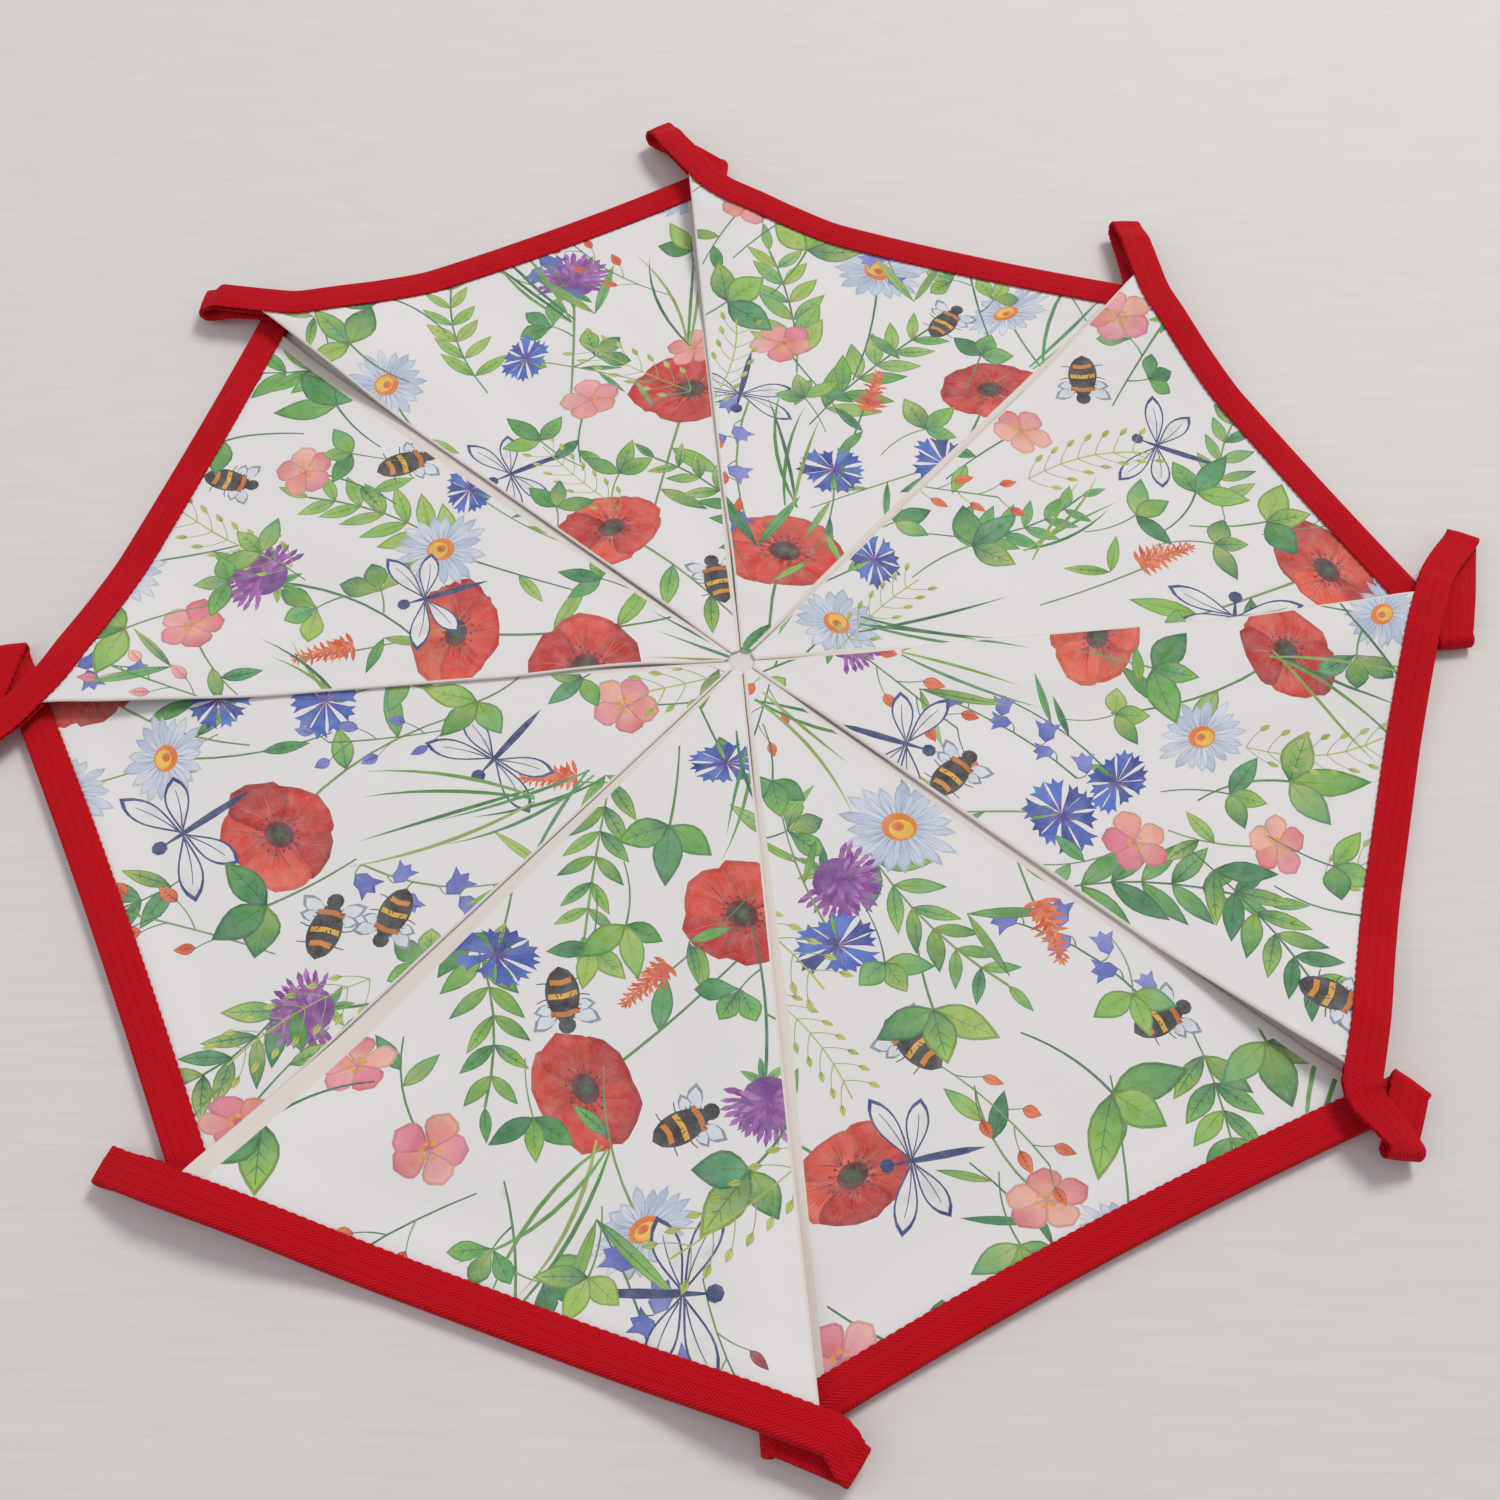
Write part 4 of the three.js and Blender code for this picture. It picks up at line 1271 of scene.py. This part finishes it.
class BuntingClothSettings(bpy.types.PropertyGroup):
    cloth: bpy.props.FloatProperty(
        name="Cloth",
        description="Thickness of a flag's two layers, in millimetres",
        default=0.72, min=0.2, max=1,
    )
    seam: bpy.props.FloatProperty(
        name="Seam",
        description="Thickness along the turned-in edges, in millimetres",
        default=0.96, min=0.2, max=1,
    )
    grid: bpy.props.FloatProperty(
        name="Grid",
        description="Spacing of the cloth's own points, in millimetres",
        default=3.2, min=1, max=10,
    )
    density: bpy.props.FloatProperty(
        name="Density",
        description="How closely the print's motifs are scattered",
        default=1.0, min=0, max=2,
    )
    seed: bpy.props.IntProperty(name="Seed", description="Which scatter of motifs", default=40)


class BuntingTapeSettings(bpy.types.PropertyGroup):
    sections: bpy.props.IntProperty(
        name="Sections",
        description="How many sections the tape has from one stitch to the next",
        default=3, min=1,
    )
    layer: bpy.props.FloatProperty(
        name="Layer",
        description="Thickness of one layer of tape, in millimetres",
        default=0.7, min=0.3, max=1,
    )
    scallop: bpy.props.FloatProperty(
        name="Scallop",
        description="How far a stitch pulls the open edge in, in millimetres",
        default=0.3, min=0,
    )
    scallop_pitch: bpy.props.FloatProperty(
        name="Stitch pitch",
        description="From one stitch to the next, in millimetres",
        default=3.2, min=1,
    )
    stitch_length: bpy.props.FloatProperty(
        name="Stitch length",
        description="What shows of a stitch, in metres",
        default=0.0019, unit="LENGTH",
    )
    stitch_radius: bpy.props.FloatProperty(
        name="Stitch radius",
        description="Half of the thread's thickness, in metres",
        default=0.00017, unit="LENGTH",
    )
    red: bpy.props.FloatVectorProperty(
        name="Red", description="Main colour of the tape", default=(0.655, 0.004, 0.013), subtype="COLOR"
    )


class BuntingStageSettings(bpy.types.PropertyGroup):
    key: bpy.props.FloatProperty(
        name="Key", description="Power of the soft key light", default=64, unit="POWER"
    )
    fill: bpy.props.FloatProperty(
        name="Fill", description="Power of the soft fill light", default=3, unit="POWER"
    )
    sky: bpy.props.FloatProperty(name="Sky", description="Strength of the light all round", default=0.42)
    table: bpy.props.FloatVectorProperty(
        name="Table",
        description="Colour of the floor",
        default=(0.77, 0.745, 0.715), subtype="COLOR",
    )


class BUNTING_OT_flags(bpy.types.Operator):
    """Adds the eight printed flags"""

    bl_idname = "bunting.flags"
    bl_label = "Flags"

    def execute(self, context):
        options = context.scene.bunting_cloth
        shift = frame_shift()
        material = cotton_material()
        for number, flag in flags.items():
            points, faces, uv, colours, area = flag_mesh(flag, options)
            piece = put_mesh(f"cloth_{number}", points, faces, uv, material, shift)
            attribute = piece.data.color_attributes.new("print", "FLOAT_COLOR", "CORNER")
            attribute.data.foreach_set("color", colours.astype(np.float32).ravel())
            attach(piece, "root")
            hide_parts(f"flag_{number}")
            flat = (2 * flag.half_top * MM, flag.top * MM)
        return {"FINISHED"}


class BUNTING_OT_tape(bpy.types.Operator):
    """Adds the folded tape with its loops"""

    bl_idname = "bunting.tape"
    bl_label = "Tape"

    def execute(self, context):
        options = context.scene.bunting_tape
        points, faces, uv, _, length = tape_mesh(options)
        material = tape_material(options.red)
        piece = put_mesh("folded_tape", points, faces, uv, material, frame_shift())
        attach(piece, "root")
        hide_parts("tape")
        length * MM
        return {"FINISHED"}


def stitch_tree():
    """Stitches along a seam line: one short piece of thread at each step."""
    tree = bpy.data.node_groups.new("stitches", "GeometryNodeTree")
    interface = tree.interface
    interface.new_socket("Geometry", in_out="INPUT", socket_type="NodeSocketGeometry")
    for name in ("Pitch", "Length", "Radius"):
        interface.new_socket(name, in_out="INPUT", socket_type="NodeSocketFloat")
    interface.new_socket("Material", in_out="INPUT", socket_type="NodeSocketMaterial")
    interface.new_socket("Geometry", in_out="OUTPUT", socket_type="NodeSocketGeometry")

    def node(kind, **settings):
        made = tree.nodes.new(kind)
        for key, value in settings.items():
            setattr(made, key, value)
        return made

    given, result = node("NodeGroupInput"), node("NodeGroupOutput")
    curve = node("GeometryNodeMeshToCurve")
    even = node("GeometryNodeResampleCurve", mode="LENGTH")
    stitch = node("GeometryNodeMeshUVSphere")
    stretch = node("ShaderNodeCombineXYZ")
    spots = node("GeometryNodeCurveToPoints", mode="EVALUATED")
    place = node("GeometryNodeInstanceOnPoints")
    real = node("GeometryNodeRealizeInstances")
    paint = node("GeometryNodeSetMaterial")
    smooth = node("GeometryNodeSetShadeSmooth")
    link = tree.links.new
    stitch.inputs["Segments"].default_value = 8
    stitch.inputs["Rings"].default_value = 6
    stitch.inputs["Radius"].default_value = 1
    link(given.outputs["Geometry"], curve.inputs["Mesh"])
    link(curve.outputs["Curve"], even.inputs["Curve"])
    link(given.outputs["Pitch"], even.inputs["Length"])
    link(even.outputs["Curve"], spots.inputs["Curve"])
    link(spots.outputs["Points"], place.inputs["Points"])
    link(spots.outputs["Rotation"], place.inputs["Rotation"])
    link(stitch.outputs["Mesh"], place.inputs["Instance"])
    link(given.outputs["Radius"], stretch.inputs["X"])
    link(given.outputs["Radius"], stretch.inputs["Y"])
    link(given.outputs["Length"], stretch.inputs["Z"])
    link(stretch.outputs["Vector"], place.inputs["Scale"])
    link(place.outputs["Instances"], real.inputs["Geometry"])
    link(real.outputs["Geometry"], smooth.inputs["Geometry"])
    link(smooth.outputs["Geometry"], paint.inputs["Geometry"])
    link(given.outputs["Material"], paint.inputs["Material"])
    link(paint.outputs["Geometry"], result.inputs["Geometry"])
    return tree


class BUNTING_OT_stitches(bpy.types.Operator):
    """Adds the row of stitches along the tape's open edge"""

    bl_idname = "bunting.stitches"
    bl_label = "Stitches"

    def execute(self, context):
        options = context.scene.bunting_tape
        seam = tape_mesh(options)[3]
        line = bpy.data.meshes.new("seam_line")
        points = (seam + frame_shift()) * MM
        line.from_pydata(points.tolist(), [(i, i + 1) for i in range(len(points) - 1)], [])
        holder = bpy.data.objects.new("seam_line", line)
        context.collection.objects.link(holder)
        tree = stitch_tree()
        modifier = holder.modifiers.new("stitches", "NODES")
        modifier.node_group = tree
        values = {
            "Pitch": options.scallop_pitch * MM,
            "Length": options.stitch_length / 2,
            "Radius": options.stitch_radius,
            "Material": thread_material(),
        }
        for item in tree.interface.items_tree:
            if item.in_out == "INPUT" and item.name in values:
                modifier[item.identifier] = values[item.name]
        shown = holder.evaluated_get(context.evaluated_depsgraph_get())
        mesh = bpy.data.meshes.new_from_object(shown)
        holder.modifiers.remove(modifier)
        bpy.data.objects.remove(holder)
        piece = bpy.data.objects.new("stitches", mesh)
        context.collection.objects.link(piece)
        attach(piece, "root")
        return {"FINISHED"}


def area_light(name, place, power, colour):
    """A soft round light that shines at the middle of the bunting."""
    data = bpy.data.lights.new(name, "AREA")
    data.shape, data.size, data.energy, data.color = "DISK", LIGHT_SIZE, power, colour
    light = bpy.data.objects.new(name, data)
    turn = Vector(place).to_track_quat("Z", "Y").to_matrix().to_4x4()
    light.matrix_world = Matrix.Translation(place) @ turn
    bpy.context.collection.objects.link(light)


class BUNTING_OT_stage(bpy.types.Operator):
    """Adds the camera, the lights and the floor"""

    bl_idname = "bunting.stage"
    bl_label = "Stage"

    def execute(self, context):
        options = context.scene.bunting_stage
        data = bpy.data.cameras.new("camera")
        data.sensor_width, data.lens = SENSOR, CAMERA_LENS
        camera = bpy.data.objects.new("camera", data)
        tilt = Matrix.Rotation(math.radians(CAMERA_TILT), 4, "X")
        roll = Matrix.Rotation(math.radians(CAMERA_ROLL), 4, "Z")
        place = (frame_shift() + CAMERA_PLACE) * MM
        camera.matrix_world = Matrix.Translation(place) @ (tilt @ roll)
        context.collection.objects.link(camera)
        context.scene.camera = camera

        floor = bpy.data.meshes.new("floor")
        corners = [(x * FLOOR_REACH, y * FLOOR_REACH, 0) for x, y in ((-1, -1), (1, -1), (1, 1), (-1, 1))]
        floor.from_pydata(corners, [], [(0, 1, 2, 3)])
        floor.materials.append(floor_material(tuple(options.table)))
        ground = bpy.data.objects.new("floor", floor)
        ground.location.z = -FLOOR_BELOW
        context.collection.objects.link(ground)

        area_light("key", KEY_PLACE, options.key, KEY_COLOUR)
        area_light("fill", FILL_PLACE, options.fill, FILL_COLOUR)
        world = bpy.data.worlds.new("studio")
        world.use_nodes = True
        context.scene.view_settings.view_transform = "Standard"
        backdrop = world.node_tree.nodes["Background"]
        backdrop.inputs["Color"].default_value = SKY_COLOUR
        backdrop.inputs["Strength"].default_value = options.sky
        context.scene.world = world
        return {"FINISHED"}


class BUNTING_PT_panel(bpy.types.Panel):
    bl_idname = "BUNTING_PT_panel"
    bl_label = "Bunting"
    bl_space_type = "VIEW_3D"
    bl_region_type = "UI"
    bl_category = "Bunting"

    def draw(self, context):
        for group, steps in PANEL_ROWS:
            box = self.layout.box()
            settings = getattr(context.scene, group)
            for name in settings.__annotations__:
                box.prop(settings, name)
            for step in steps:
                box.operator(step)


PANEL_ROWS = [
    ("bunting_cloth", ["bunting.flags"]),
    ("bunting_tape", ["bunting.tape", "bunting.stitches"]),
    ("bunting_stage", ["bunting.stage"]),
]
SETTINGS = {
    "bunting_cloth": BuntingClothSettings,
    "bunting_tape": BuntingTapeSettings,
    "bunting_stage": BuntingStageSettings,
}
CLASSES = [
    *SETTINGS.values(),
    BUNTING_OT_flags,
    BUNTING_OT_tape,
    BUNTING_OT_stitches,
    BUNTING_OT_stage,
    BUNTING_PT_panel,
]


def register():
    for kind in CLASSES:
        bpy.utils.register_class(kind)
    for name, kind in SETTINGS.items():
        setattr(bpy.types.Scene, name, bpy.props.PointerProperty(type=kind))


def unregister():
    for name in SETTINGS:
        delattr(bpy.types.Scene, name)
    for kind in reversed(CLASSES):
        bpy.utils.unregister_class(kind)


def main():
    register()
    bpy.ops.bunting.stage()
    bpy.ops.bunting.tape()
    bpy.ops.bunting.flags()
    bpy.ops.bunting.stitches()


if __name__ == "__main__":
    main()
